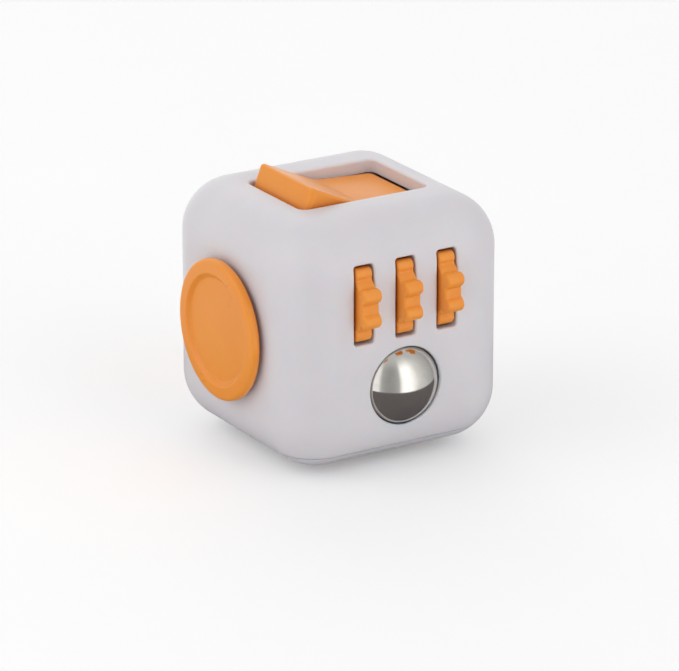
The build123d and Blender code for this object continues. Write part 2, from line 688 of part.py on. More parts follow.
with BuildPart() as ball_housing_screws:
    screws_at(ear_seats)
ball_housing_screws.part.label = "ball_housing_screws"
export_step(ball_housing_screws.part, "parts/ball_housing_screws.step")

with BuildPart() as ball_dome:
    dome_foot = Plane(
        origin=(0, BALL_Y + HOUSING_REAR, BALL_Z), x_dir=(1, 0, 0), z_dir=(0, 0, -1)
    )
    with BuildSketch(dome_foot):
        make_face(
            dome_profile(BALL_DOME_RADIUS, HOUSING_REAR - CUP_REAR - SLACK, DOME_THICKNESS)
        )
    revolve(axis=ball_axis)
ball_dome.part.label = "ball_dome"
export_step(ball_dome.part, "parts/ball_dome.step")

# ---------------------------------------------------------------- joystick
# local x runs outwards from the left face, local y is the radius
pad_section = Plane(origin=(-HALF, 0, MID), x_dir=(-1, 0, 0), z_dir=(0, 0, -1))
pad_axis = Axis((0, 0, MID), (1, 0, 0))
stem_seat = facing_out(-HALF + STEM_END + RETAINER_THICKNESS, 0, MID, (1, 0, 0))

with BuildPart() as joystick_pad:
    with BuildSketch(pad_section) as pad_outline:
        with BuildLine():
            Polyline(
                (-STEM_END, 0),
                (-STEM_END, STEM_RADIUS),
                (PAD_GAP, STEM_RADIUS),
                (PAD_GAP, PAD_RADIUS),
                (PAD_PROUD, PAD_RADIUS),
                (PAD_PROUD, PAD_DISH_RADIUS),
                (PAD_PROUD - PAD_DISH_DEPTH, PAD_DISH_RADIUS - PAD_DISH_DEPTH),
                (PAD_PROUD - PAD_DISH_DEPTH, 0),
                close=True,
            )
        make_face()
        fillet(pad_outline.vertices().group_by(Axis.Y)[-1], PAD_EDGE)
    revolve(axis=pad_axis)
    pilot_holes([stem_seat])
joystick_pad.part.label = "joystick_pad"
export_step(joystick_pad.part, "parts/joystick_pad.step")

with BuildPart() as joystick_slider:
    with BuildSketch(Plane.YZ.offset(SLIDER_X)):
        with Locations((0, MID)):
            Rectangle(2 * SLIDER_HALF_WIDTH, 2 * SLIDER_HALF_HEIGHT)
            SlotCenterToCenter(
                2 * GLIDE_TRAVEL, 2 * (STEM_RADIUS + SLACK), rotation=90, mode=Mode.SUBTRACT
            )
    extrude(amount=SLIDER_THICKNESS)
joystick_slider.part.label = "joystick_slider"
export_step(joystick_slider.part, "parts/joystick_slider.step")

with BuildPart() as joystick_retainer:
    with BuildSketch(Plane.YZ.offset(-HALF + STEM_END)):
        with Locations((0, MID)):
            Circle(RETAINER_RADIUS)
    extrude(amount=RETAINER_THICKNESS)
    pilot_holes([stem_seat])
joystick_retainer.part.label = "joystick_retainer"
export_step(joystick_retainer.part, "parts/joystick_retainer.step")

with BuildPart() as joystick_screw:
    screws_at([stem_seat])
joystick_screw.part.label = "joystick_screw"
export_step(joystick_screw.part, "parts/joystick_screw.step")

with BuildPart() as joystick_cushion:
    with BuildSketch(Plane.YZ.offset(-HALF + (WALL - CUSHION_LENGTH) / 2)):
        with Locations((0, MID)):
            Circle(STEM_HOLE_RADIUS - SLACK)
            Circle(STEM_RADIUS + SLACK, mode=Mode.SUBTRACT)
    extrude(amount=CUSHION_LENGTH)
joystick_cushion.part.label = "joystick_cushion"
export_step(joystick_cushion.part, "parts/joystick_cushion.step")

# ---------------------------------------------------------------- rocker switch
tilt = radians(ROCKER_TILT)
rocker_plane = Plane(
    origin=(0, 0, ROCKER_PIN_Z), x_dir=(cos(tilt), 0, -sin(tilt)), z_dir=(0, -1, 0)
)
pin_seat = facing_out(0, 0, ROCKER_PIN_Z, (0, 1, 0))

with BuildPart() as rocker:
    # a shallow vee on top, so that one half always lies nearly level
    with BuildSketch(rocker_plane):
        with BuildLine():
            top_half_length = ROCKER_HALF_LENGTH - ROCKER_END_TAPER
            Polyline(
                (-ROCKER_HALF_LENGTH, -ROCKER_BELLY),
                (-top_half_length, ROCKER_END_RISE),
                (0, ROCKER_MIDDLE_RISE),
                (top_half_length, ROCKER_END_RISE),
                (ROCKER_HALF_LENGTH, -ROCKER_BELLY),
                close=True,
            )
        make_face()
    extrude(amount=ROCKER_HALF_WIDTH, both=True)
    upright = rocker.edges().filter_by(lambda edge: edge.bounding_box().size.Y < ROCKER_HALF_WIDTH)
    ends = upright.sort_by(Axis.X)[:2] + upright.sort_by(Axis.X)[-2:]
    fillet(ends, ROCKER_CORNER)
    sides = rocker.faces().filter_by(Axis.Y).edges()
    fillet(sides, ROCKER_EDGE)
    # hub around the pin and the keel below it
    with BuildSketch(rocker_plane):
        Circle(ROCKER_HUB_RADIUS)
    extrude(amount=ROCKER_HALF_WIDTH, both=True)
    with BuildSketch(rocker_plane):
        with BuildLine():
            Polyline(
                (-KEEL_HALF_WIDTH, 0),
                (-KEEL_TIP_HALF, -KEEL_LENGTH),
                (KEEL_TIP_HALF, -KEEL_LENGTH),
                (KEEL_HALF_WIDTH, 0),
                close=True,
            )
        make_face()
    extrude(amount=KEEL_HALF_DEPTH, both=True)
    with Locations(pin_seat):
        Cylinder(PIN_RADIUS + PIN_SLACK, CUBE, mode=Mode.SUBTRACT)
rocker.part.label = "rocker"
export_step(rocker.part, "parts/rocker.step")

with BuildPart() as rocker_pin:
    with Locations(pin_seat):
        Cylinder(PIN_RADIUS, 2 * (LUG_INNER + LUG_THICKNESS))
rocker_pin.part.label = "rocker_pin"
export_step(rocker_pin.part, "parts/rocker_pin.step")

leaf_screw_seats = [seat.offset(LEAF_THICKNESS) for seat in leaf_seats]
with BuildPart() as rocker_spring:
    # a flat strip with a peak in the middle, one side of which the keel rests against
    with BuildSketch(Plane.XZ):
        with BuildLine() as leaf_line:
            Polyline(
                (-LEAF_HALF_LENGTH, LEAF_TOP - LEAF_THICKNESS),
                (-LEAF_BUMP_HALF, LEAF_TOP - LEAF_THICKNESS),
                (0, LEAF_TOP - LEAF_THICKNESS + LEAF_BUMP_HEIGHT),
                (LEAF_BUMP_HALF, LEAF_TOP - LEAF_THICKNESS),
                (LEAF_HALF_LENGTH, LEAF_TOP - LEAF_THICKNESS),
                (LEAF_HALF_LENGTH, LEAF_TOP),
                (LEAF_BUMP_HALF, LEAF_TOP),
                (0, LEAF_TOP + LEAF_BUMP_HEIGHT),
                (-LEAF_BUMP_HALF, LEAF_TOP),
                (-LEAF_HALF_LENGTH, LEAF_TOP),
                close=True,
            )
        make_face()
    extrude(amount=LEAF_HALF_WIDTH, both=True)
    pilot_holes(leaf_screw_seats)
rocker_spring.part.label = "rocker_spring"
export_step(rocker_spring.part, "parts/rocker_spring.step")

with BuildPart() as rocker_spring_screws:
    screws_at(leaf_screw_seats)
rocker_spring_screws.part.label = "rocker_spring_screws"
export_step(rocker_spring_screws.part, "parts/rocker_spring_screws.step")

# ---------------------------------------------------------------- dial
dial_axis = Axis((0, 0, MID), (0, 1, 0))
DIAL_BACK = HALF - DIAL_RECESS_DEPTH + 2 * SLACK
DIAL_RIM = HALF + DIAL_PROUD
DIAL_FLOOR = DIAL_RIM - DIAL_DISH_DEPTH
dial_seat = facing_out(0, HUB_END - DIAL_RETAINER_THICKNESS, MID, (0, -1, 0))

with BuildPart() as dial:
    with BuildSketch(depth_section(0, MID)) as dial_outline:
        with BuildLine():
            Polyline(
                (0, HUB_END),
                (HUB_RADIUS, HUB_END),
                (HUB_RADIUS, DIAL_BACK),
                (DIAL_RADIUS, DIAL_BACK),
                (DIAL_RADIUS, DIAL_RIM),
                (DIAL_DISH_RADIUS, DIAL_RIM),
                (DIAL_DISH_RADIUS - DIAL_DISH_DEPTH, DIAL_FLOOR),
                (0, DIAL_FLOOR),
                close=True,
            )
        make_face()
        fillet(dial_outline.vertices().group_by(Axis.X)[-1].sort_by(Axis.Y)[-1], DIAL_EDGE)
    revolve(axis=dial_axis)
    with BuildSketch(facing_out(0, DIAL_FLOOR, MID, (0, 1, 0))):
        with Locations((0, NUB_PLACE)):
            Circle(NUB_RADIUS)
    extrude(amount=NUB_HEIGHT)
    fillet(dial.edges().group_by(Axis.Y)[-1], DIAL_EDGE)
    pilot_holes([dial_seat])
dial.part.label = "dial"
export_step(dial.part, "parts/dial.step")

with BuildPart() as dial_washer:
    # a slightly coned spring washer that keeps a light drag on the dial
    with BuildSketch(depth_section(0, MID)):
        with BuildLine():
            Polyline(
                (HUB_RADIUS + 2 * SLACK, HUB_END + SLACK),
                (DIAL_WASHER_RADIUS, INNER - SLACK - DIAL_WASHER_THICKNESS),
                (DIAL_WASHER_RADIUS, INNER - SLACK),
                (HUB_RADIUS + 2 * SLACK, HUB_END + SLACK + DIAL_WASHER_THICKNESS),
                close=True,
            )
        make_face()
    revolve(axis=dial_axis)
dial_washer.part.label = "dial_washer"
export_step(dial_washer.part, "parts/dial_washer.step")

with BuildPart() as dial_retainer:
    with Locations(facing_out(0, HUB_END, MID, (0, 1, 0))):
        Cylinder(
            DIAL_RETAINER_RADIUS,
            DIAL_RETAINER_THICKNESS,
            align=(Align.CENTER, Align.CENTER, Align.MAX),
        )
    pilot_holes([dial_seat])
dial_retainer.part.label = "dial_retainer"
export_step(dial_retainer.part, "parts/dial_retainer.step")

with BuildPart() as dial_screw:
    screws_at([dial_seat])
dial_screw.part.label = "dial_screw"
export_step(dial_screw.part, "parts/dial_screw.step")
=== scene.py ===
"""Looks of the fidget cube: finely rounded meshes, procedural plastics and steel, soft studio.

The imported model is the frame.  Front is -Y, left is -X, up is +Z.  Every shape is built in
millimetres in the frame's own axes and scaled to metres when its piece is finished.
"""
import json
import math

import bmesh
import bpy
from mathutils import Matrix, Vector


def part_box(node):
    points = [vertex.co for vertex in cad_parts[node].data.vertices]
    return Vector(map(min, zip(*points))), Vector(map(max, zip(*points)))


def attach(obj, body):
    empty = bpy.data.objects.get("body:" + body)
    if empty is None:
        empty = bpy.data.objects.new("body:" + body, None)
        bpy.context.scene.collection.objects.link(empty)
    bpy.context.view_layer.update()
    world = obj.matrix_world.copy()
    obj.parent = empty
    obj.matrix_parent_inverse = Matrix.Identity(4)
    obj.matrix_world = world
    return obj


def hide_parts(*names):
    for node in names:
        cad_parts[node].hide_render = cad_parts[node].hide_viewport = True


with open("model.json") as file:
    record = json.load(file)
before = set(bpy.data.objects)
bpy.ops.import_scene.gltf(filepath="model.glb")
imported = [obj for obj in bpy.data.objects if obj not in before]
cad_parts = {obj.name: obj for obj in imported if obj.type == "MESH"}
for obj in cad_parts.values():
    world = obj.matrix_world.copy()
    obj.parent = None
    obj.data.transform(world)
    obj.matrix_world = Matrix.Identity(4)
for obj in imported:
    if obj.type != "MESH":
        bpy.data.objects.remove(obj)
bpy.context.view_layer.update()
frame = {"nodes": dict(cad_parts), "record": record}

MM = 0.001
X_AXIS, Y_AXIS, Z_AXIS = Vector((1, 0, 0)), Vector((0, 1, 0)), Vector((0, 0, 1))


def box_mm(node):
    """Lowest and highest corner of a CAD node, in millimetres."""
    low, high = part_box(node)
    return low / MM, high / MM


def middle_mm(node):
    """Middle of a CAD node's box, in millimetres."""
    low, high = box_mm(node)
    return (low + high) / 2


# ---------------------------------------------------------------- places, from the frame
shell_low, shell_high = box_mm("main_shell")
HALF = shell_high.x
CUBE_REACH = 2 * HALF       # beyond the cube on every side
CENTRE = Vector((0, 0, shell_high.z - HALF))
SEAM_Z = shell_low.z
FACE_Z = box_mm("bottom_cover")[0].z
BALL_CENTRE = middle_mm("ball")
AXLE = middle_mm("gear_axle")
PIN = middle_mm("rocker_pin")
GEARS = ("gear_left", "gear_middle", "gear_right")
BUTTONS = [node for node in frame["nodes"] if node.startswith("button_") and "board" not in node]

# ---------------------------------------------------------------- fine dimensions (mm)
EDGE_RADIUS = 7.0           # round-over of the cube
WALL = 1.8
THROUGH = WALL + 1          # depth of a cutter that passes the wall
PROUD = 3                   # how far a cutter stands out of the face
PLAY = 0.05                 # clearance between sliding or turning parts
CORE = HALF - EDGE_RADIUS   # half of each flat
BEND_STEPS = 14             # mesh steps from a flat to the cube's diagonal
FLAT_CELLS = 19
INNER_BEND_STEPS = 6
INNER_FLAT_CELLS = 8
RIM = 0.3                   # rounded rim of the openings
RIM_STEPS = 6
RIM_REST = math.radians(10)  # the rim's arc stops this far short of the face, to cross it cleanly
SEAM_GAP = 0.02
SEAM_GROOVE = 0.1
SEAM_FLARE = (0.6, 0.3)     # how far out the groove's tool reaches, and half its height there
WELD = 0.0005               # corners closer than this are one
SLIVER = (0.003, 0.002)     # merge distance and shortest edge after a boolean

SLOT_HALF_WIDTH = 1.475
SLOT_HALF_LENGTH = 5.25
SLOT_CORNER = 0.45
GEAR_PITCH = 6.15
LOBES = 8
LOBE_CENTRE = 4.3
LOBE_RADIUS = 0.95
GEAR_CORE = 4.15
LOBE_BLEND = 0.4
GEAR_EDGE = 0.38
GEAR_EDGE_STEPS = 6
GEAR_BORE = 0.725
GEAR_HUB = 1.5              # ring of mesh round the bore

BALL_RADIUS = 6.0
BALL_CELLS = 28
BALL_SPOKES = 160           # mesh steps round the ball's opening
BALL_OPENING = 5.2
BALL_LIP = 0.4              # thickness of the wall at the opening
BALL_RIM = 0.3
BALL_RELIEF = 6.55          # radius of the hollow behind the lip
RELIEF_STEPS = 12
COLLAR_INNER = 6.06
COLLAR_OUTER = 6.42
COLLAR_LIP = 0.08
COLLAR_LIP_STEPS = 8
COLLAR_SETBACK = 0.8        # front of the collar behind the face
COLLAR_STEPS = 10
CARRIER_RADIUS = 7.0
CARRIER_FLAT = 6.4

STEM_HOLE = 4.8
PAD_PROUD = 1.9
PAD_GAP = 0.5
PAD_DISH = 7.4
PAD_DISH_DEPTH = 0.55
PAD_SAG = 0.1               # extra depth of the dish at its middle
PAD_SAG_EDGE = 1.6          # how far inside the dish's rim it begins
STEM_RADIUS = 2.5
STEM_END = -3.3
STEM_PILOT = 2.2            # depth of the screw's pilot hole
PILOT_RADIUS = 0.7

WELL_HALF_LENGTH = 9.5
WELL_HALF_WIDTH = 6.9
WELL_CORNER = 1.1
ROCKER_HALF_LENGTH = 9.2
ROCKER_HALF_WIDTH = 6.6
ROCKER_CORNER = 0.9
ROCKER_EDGE = 0.45
ROCKER_EDGE_STEPS = 7
ROCKER_RINGS = 24           # mesh rings from the edge of its top to the middle
ROCKER_TILT = math.radians(14)
ROCKER_END_RISE = 3.1
ROCKER_MIDDLE_RISE = 1.5
ROCKER_BELLY = 1.0
ROCKER_TAPER = 0.5
ROCKER_VALLEY = 0.8         # softness of the crease between its two halves
ROCKER_HUB = (6.3, 1.4)     # half length and radius
ROCKER_BORE = (9, 0.825)
KEEL_LENGTH = 4.1
KEEL_ROOT = 0.2             # start of the keel below the pin
KEEL_HALF_WIDTH = 2
KEEL_TAPER = (1.2, 0.4)     # half thickness at its root and its end

DIAL_RECESS = 8.8
DIAL_RECESS_SPOKES = 160
DIAL_RECESS_DEPTH = 0.8
DIAL_PROUD = 1.1
DIAL_DISH = 7.3
DIAL_DISH_DEPTH = 0.5
DIAL_FLOAT = 0.1            # gap between the dial and the floor of its recess
HUB_RADIUS = 2.5
HUB_END = -2.7
HUB_PILOT = 2.3
NUB_PLACE = 4.9
NUB_RADIUS = 1.7
NUB_HEIGHT = 1.3
NUB_FOOT = 0.3              # depth of its foot inside the dial
NUB_FOOT_SPREAD = 0.4
NUB_CUP_RADIUS = 0.9

THUMB_HALF_HEIGHT = 8.2
THUMB_HALF_WIDTH = 6.4
THUMB_DEPTH = 1.7
THUMB_SOFTNESS = 0.05       # rounding of the hollow's rim
THUMB_REACH = 1.35          # the tool reaches this far past the oval, where it leaves the face
THUMB_LIFT = 0.12           # how fast it leaves the face there
THUMB_WALL = 3.2            # wall plus hollow
BUTTON_HOLE = 2.45
BUTTON_HOLE_SPOKES = 72
BUTTON_RIM = 0.2
COVER_FACE = 1.4
COVER_POCKET = (10.8, 5)    # half width and height of the room inside the cover


# ---------------------------------------------------------------- mesh tools
def loft(rings, joined=False):
    """Mesh through rings of equal length; an end ring of one point closes to a tip."""
    bm = bmesh.new()
    loops = [[bm.verts.new(point) for point in ring] for ring in rings]
    pairs = list(zip(loops, loops[1:]))
    if joined:
        pairs.append((loops[-1], loops[0]))
    for first, second in pairs:
        count = max(len(first), len(second))
        for index in range(count):
            after = (index + 1) % count
            corners = [first[index % len(first)], first[after % len(first)]]
            corners += [second[after % len(second)], second[index % len(second)]]
            bm.faces.new(list(dict.fromkeys(corners)))
    if not joined:
        for end in (loops[0], loops[-1]):
            if len(end) > 2:
                bm.faces.new(end)
    return closed(bm)


def closed(bm):
    """Finished mesh of a closed surface, with its faces turned outwards."""
    bmesh.ops.recalc_face_normals(bm, faces=bm.faces)
    mesh = bpy.data.meshes.new("part")
    bm.to_mesh(mesh)
    bm.free()
    return mesh


def turned(profile, origin, axis, segments=144):
    """Turned mesh of a profile of (distance along the axis, radius)."""
    across = Z_AXIS if abs(axis.z) < 0.5 else X_AXIS
    side = axis.cross(across)
    rings = []
    for along, radius in profile:
        foot = origin + axis * along
        if radius < 1e-6:
            rings.append([foot])
            continue
        angles = [2 * math.pi * index / segments for index in range(segments)]
        rings.append([foot + (across * math.cos(a) + side * math.sin(a)) * radius for a in angles])
    return loft(rings, joined=len(rings[0]) > 1 and len(rings[-1]) > 1)


def rod(back, front, radius, origin, axis, segments):
    """Plain turned rod that reaches behind and in front of its origin."""
    profile = [(-back, 0), (-back, radius), (front, radius), (front, 0)]
    return turned(profile, origin, axis, segments)


def turn(start, end, share):
    """Unit vector part of the way round from one unit vector to another."""
    angle = start.angle(end)
    return (start * math.sin((1 - share) * angle) + end * math.sin(share * angle)) / math.sin(angle)


def quarter(steps):
    """Angles of a quarter turn, both ends included."""
    return [math.pi / 2 * step / steps for step in range(steps + 1)]


def six_sides():
    """Turns that carry the top side of a cube onto each of its sides."""
    turns = [Matrix.Rotation(math.pi / 2 * step, 3, "X") for step in range(4)]
    return turns + [Matrix.Rotation(math.pi / 2 * step, 3, "Y") for step in (1, 3)]


def patch(bm, grid):
    """Four-sided faces over a grid of corners."""
    for row, following in zip(grid, grid[1:]):
        for j in range(len(row) - 1):
            bm.faces.new((row[j], following[j], following[j + 1], row[j + 1]))


def rounded(corners, steps=7):
    """Profile through (along, radius, rounding) corners, each rounded by its own arc."""
    path = []
    for index, (along, radius, rounding) in enumerate(corners):
        corner = Vector((along, radius))
        if rounding == 0:
            path.append(corner)
            continue
        before = (Vector(corners[index - 1][:2]) - corner).normalized()
        after = (Vector(corners[index + 1][:2]) - corner).normalized()
        half = before.angle(after) / 2
        centre = corner + (before + after).normalized() * rounding / math.sin(half)
        touch = rounding / math.tan(half)
        start = (corner + before * touch - centre).normalized()
        end = (corner + after * touch - centre).normalized()
        path += [centre + turn(start, end, step / steps) * rounding for step in range(steps + 1)]
    return path


def as_object(mesh, name="tool"):
    """New object of a mesh, light or camera, in the scene."""
    thing = bpy.data.objects.new(name, mesh)
    bpy.context.scene.collection.objects.link(thing)
    return thing


def combine(base, tools, operation):
    """Base mesh after an exact boolean with each tool mesh; the inputs are used up."""
    subject = as_object(base)
    for tool in tools:
        other = as_object(tool)
        change = subject.modifiers.new("combine", "BOOLEAN")
        change.operation = operation
        change.solver = "EXACT"
        change.object = other
        bpy.context.view_layer.update()
        graph = bpy.context.evaluated_depsgraph_get()
        result = bpy.data.meshes.new_from_object(subject.evaluated_get(graph))
        subject.modifiers.clear()
        subject.data = result
        bpy.data.objects.remove(other)
    mesh = subject.data
    bpy.data.objects.remove(subject)
    return mesh


def clean(mesh):
    """Remove the slivers that booleans leave."""
    bm = bmesh.new()
    bm.from_mesh(mesh)
    merge, shortest = SLIVER
    bmesh.ops.remove_doubles(bm, verts=bm.verts, dist=merge)
    bmesh.ops.dissolve_degenerate(bm, edges=bm.edges, dist=shortest)
    bm.to_mesh(mesh)
    bm.free()
    return mesh


def finish_piece(name, mesh, node, material, sharp=40):
    """Scale to metres, smooth, dress and hang a piece on the body of the node it stands for."""
    mesh.transform(Matrix.Scale(MM, 4))
    mesh.materials.clear()
    mesh.materials.append(material)
    mesh.shade_smooth()
    mesh.set_sharp_from_angle(angle=math.radians(sharp))
    piece = as_object(mesh, name)
    mesh.name = name
    shading = piece.modifiers.new("shading", "WEIGHTED_NORMAL")
    shading.keep_sharp = True
    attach(piece, body_of_node[node])
    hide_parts(node)
    return piece


# ---------------------------------------------------------------- the cube's skin
def core_offset(point):
    """From the nearest point of the cube's core to the point, and the largest excess."""
    local = point - CENTRE
    excess = [abs(value) - CORE for value in local]
    away = Vector([math.copysign(max(over, 0), value) for over, value in zip(excess, local)])
    return away, max(excess)


def height_over_skin(point):
    """Height of a point over the rounded cube; negative inside it."""
    away, largest = core_offset(point)
    return away.length + min(largest, 0) - EDGE_RADIUS


def settle(path, low, high, depth):
    """Point of a path that climbs from low to high, where it lies that deep under the skin."""
    for _ in range(40):
        middle = (low + high) / 2
        if height_over_skin(path(middle)) < -depth:
            low = middle
        else:
            high = middle
    return path(low)


def flare(centre, wall_direction, rim, out):
    """Points up a rounded rim: round its centre from the wall to the skin, then clear of it."""
    skin_direction = core_offset(centre)[0].normalized()
    stop = 1 - RIM_REST / wall_direction.angle(skin_direction)
    steps = [stop * step / RIM_STEPS for step in range(RIM_STEPS + 1)]
    points = [centre + turn(wall_direction, skin_direction, share) * rim for share in steps]
    spoke = turn(wall_direction, skin_direction, stop)
    climb = (skin_direction - spoke * skin_direction.dot(spoke)).normalized()
    points.append(points[-1] + climb * 2 * rim)
    points.append(points[-1] + out * PROUD)
    return points


def rounded_cube(half, radius, bend_steps, cells):
    """Cube with round edges: a grid on each side, pushed out from the core."""
    core = half - radius
    slopes = [math.tan(math.pi / 4 * step / bend_steps) for step in range(1, bend_steps + 1)]
    bend = [core + radius * slope for slope in slopes]
    flat = [core * (2 * step / cells - 1) for step in range(cells + 1)]
    line = [-value for value in reversed(bend)] + flat + bend
    bm = bmesh.new()
    for side in six_sides():
        grid = []
        for u in line:
            row = []
            for v in line:
                inner = Vector((max(-core, min(core, u)), max(-core, min(core, v)), core))
                point = inner + (Vector((u, v, half)) - inner).normalized() * radius
                row.append(bm.verts.new(CENTRE + side @ point))
            grid.append(row)
        patch(bm, grid)
    bmesh.ops.remove_doubles(bm, verts=bm.verts, dist=WELD)
    return closed(bm)


class Side:
    """One flat of the cube: two directions along it and the way out."""

    def __init__(self, along, up, out):
        self.along = along
        self.up = up
        self.out = out

    def at(self, u, v, height=0.0):
        """Point over the flat, measured from its middle."""
        return CENTRE + self.out * (HALF + height) + self.along * u + self.up * v


FRONT = Side(X_AXIS, Z_AXIS, -Y_AXIS)
BACK = Side(-X_AXIS, Z_AXIS, Y_AXIS)
LEFT = Side(-Y_AXIS, Z_AXIS, -X_AXIS)
RIGHT = Side(Y_AXIS, Z_AXIS, X_AXIS)
ABOVE = Side(X_AXIS, Y_AXIS, Z_AXIS)
BELOW = Side(X_AXIS, -Y_AXIS, -Z_AXIS)


# ---------------------------------------------------------------- outlines
def circle(radius, count=96, centre=(0, 0)):
    """Outline points, each with its outward direction."""
    directions = [
        Vector((math.cos(2 * math.pi * index / count), math.sin(2 * math.pi * index / count)))
        for index in range(count)
    ]
    return [(Vector(centre) + direction * radius, direction) for direction in directions]


def rounded_rectangle(half_u, half_v, corner, centre=(0, 0), steps=8, stride=0.6):
    """Outline points with outward directions; the straight stretches are cut into strides."""
    arcs = []
    for index, (sign_u, sign_v) in enumerate(((1, 1), (-1, 1), (-1, -1), (1, -1))):
        pivot = Vector(centre) + Vector((sign_u * (half_u - corner), sign_v * (half_v - corner)))
        for step in range(steps + 1):
            angle = math.pi / 2 * (index + step / steps)
            direction = Vector((math.cos(angle), math.sin(angle)))
            arcs.append((pivot + direction * corner, direction))
    outline = []
    for (point, direction), (following, _) in zip(arcs, arcs[1:] + arcs[:1]):
        pieces = max(1, int((following - point).length / stride))
        outline += [(point.lerp(following, k / pieces), direction) for k in range(pieces)]
    return outline


def gear_outline(steps=8):
    """Round lobes on a core, joined by hollow blends; points with outward directions."""
    blend_place = GEAR_CORE + LOBE_BLEND
    reach = LOBE_RADIUS + LOBE_BLEND
    swing = math.acos(
        (LOBE_CENTRE**2 + blend_place**2 - reach**2) / (2 * LOBE_CENTRE * blend_place)
    )
    pitch = 2 * math.pi / LOBES
    outline = []
    for lobe in range(LOBES):
        ahead = pitch * (lobe + 0.5)
        middle = polar(ahead, LOBE_CENTRE)
        before, after = polar(ahead - swing, blend_place), polar(ahead + swing, blend_place)
        outline += hollow(before, -before.normalized(), (middle - before).normalized(), steps)
        outline += bulge(middle, (before - middle).normalized(), polar(ahead, 1), steps)
        outline += bulge(middle, polar(ahead, 1), (after - middle).normalized(), steps)
        outline += hollow(after, (middle - after).normalized(), -after.normalized(), steps)
        start, end = polar(ahead + swing, 1), polar(ahead + pitch - swing, 1)
        turns = [turn(start, end, step / steps) for step in range(steps)]
        outline += [(direction * GEAR_CORE, direction) for direction in turns]
    return outline


def polar(angle, radius):
    """Point of the plane at an angle and a distance from the middle."""
    return Vector((math.cos(angle), math.sin(angle))) * radius


def bulge(middle, start, end, steps):
    """Arc of a lobe, with outward directions."""
    turns = [turn(start, end, step / steps) for step in range(steps)]
    return [(middle + direction * LOBE_RADIUS, direction) for direction in turns]


def hollow(middle, start, end, steps):
    """Arc of the blend beside a lobe, with outward directions."""
    turns = [turn(start, end, step / steps) for step in range(steps)]
    return [(middle + direction * LOBE_BLEND, -direction) for direction in turns]


# ---------------------------------------------------------------- cutters
def opening(side, outline, depth, rim=RIM):
    """Cutter for a hole in one side, flared so that it leaves a rounded rim."""
    columns = []
    for (u, v), (away_u, away_v) in outline:
        away = side.along * away_u + side.up * away_v
        wall = side.at(u, v)
        centre = settle(lambda height: wall + away * rim + side.out * height, -4, 0, rim)
        columns.append([wall - side.out * depth] + flare(centre, -away, rim, side.out))
    return loft(list(zip(*columns)))


def ball_relief():
    """Spherical room behind the lip of the ball's opening."""
    front = HALF + BALL_CENTRE.y - BALL_LIP
    start = math.asin(front / BALL_RELIEF)
    arc = [start * (1 - step / RELIEF_STEPS) for step in range(RELIEF_STEPS + 1)]
    profile = [(front, 0)]
    profile += [(BALL_RELIEF * math.sin(a), BALL_RELIEF * math.cos(a)) for a in arc]
    profile += [(-WALL, BALL_RELIEF), (-WALL, 0)]
    return turned(profile, BALL_CENTRE, FRONT.out, BALL_SPOKES)


def thumb_cutter(rings=40, spokes=144):
    """Oval hollow, curved more tightly across than along; its rim fades softly into the face."""
    across = (THUMB_HALF_WIDTH**2 + THUMB_DEPTH**2) / (2 * THUMB_DEPTH)
    along = (THUMB_HALF_HEIGHT**2 + THUMB_DEPTH**2) / (2 * THUMB_DEPTH)

    def sunk(u, v):
        ring = along - across + math.sqrt(across**2 - u**2)
        raw = THUMB_DEPTH - along + math.sqrt(ring**2 - v**2)
        return (raw + math.sqrt(raw**2 + 4 * THUMB_SOFTNESS**2)) / 2

    bowl = [[RIGHT.at(0, 0, -sunk(0, 0))]]
    for ring in range(1, rings + 1):
        share = THUMB_REACH * ring / rings
        points = []
        for direction, _ in circle(1, spokes):
            u = direction.x * THUMB_HALF_WIDTH * share
            v = direction.y * THUMB_HALF_HEIGHT * share
            lift = THUMB_LIFT * max(0, share - 1)
            points.append(RIGHT.at(u, v, lift - sunk(u, v)))
        bowl.append(points)
    bowl.append([point + RIGHT.out * PROUD for point in bowl[-1]])
    return loft(bowl)


def seam_groove():
    """Fine vee all round at the joint between the shell and its bottom cover."""
    drop = CENTRE.z - SEAM_Z - CORE
    corner = math.sqrt(EDGE_RADIUS**2 - drop**2)
    reach, opened = SEAM_FLARE
    rings = []
    for spread, rise in ((-SEAM_GROOVE, 0), (reach, opened), (reach, -opened)):
        half = CORE + corner + spread
        outline = rounded_rectangle(half, half, corner + spread, steps=24)
        rings.append([Vector((u, v, SEAM_Z + rise)) for (u, v), _ in outline])
    return loft(rings, joined=True)


def slab(low, high):
    """Plain block that cuts a mesh off at a plane."""
    rings = []
    for z in (low.z, high.z):
        rings.append([
            Vector((low.x, low.y, z)),
            Vector((high.x, low.y, z)),
            Vector((high.x, high.y, z)),
            Vector((low.x, high.y, z)),
        ])
    return loft(rings)


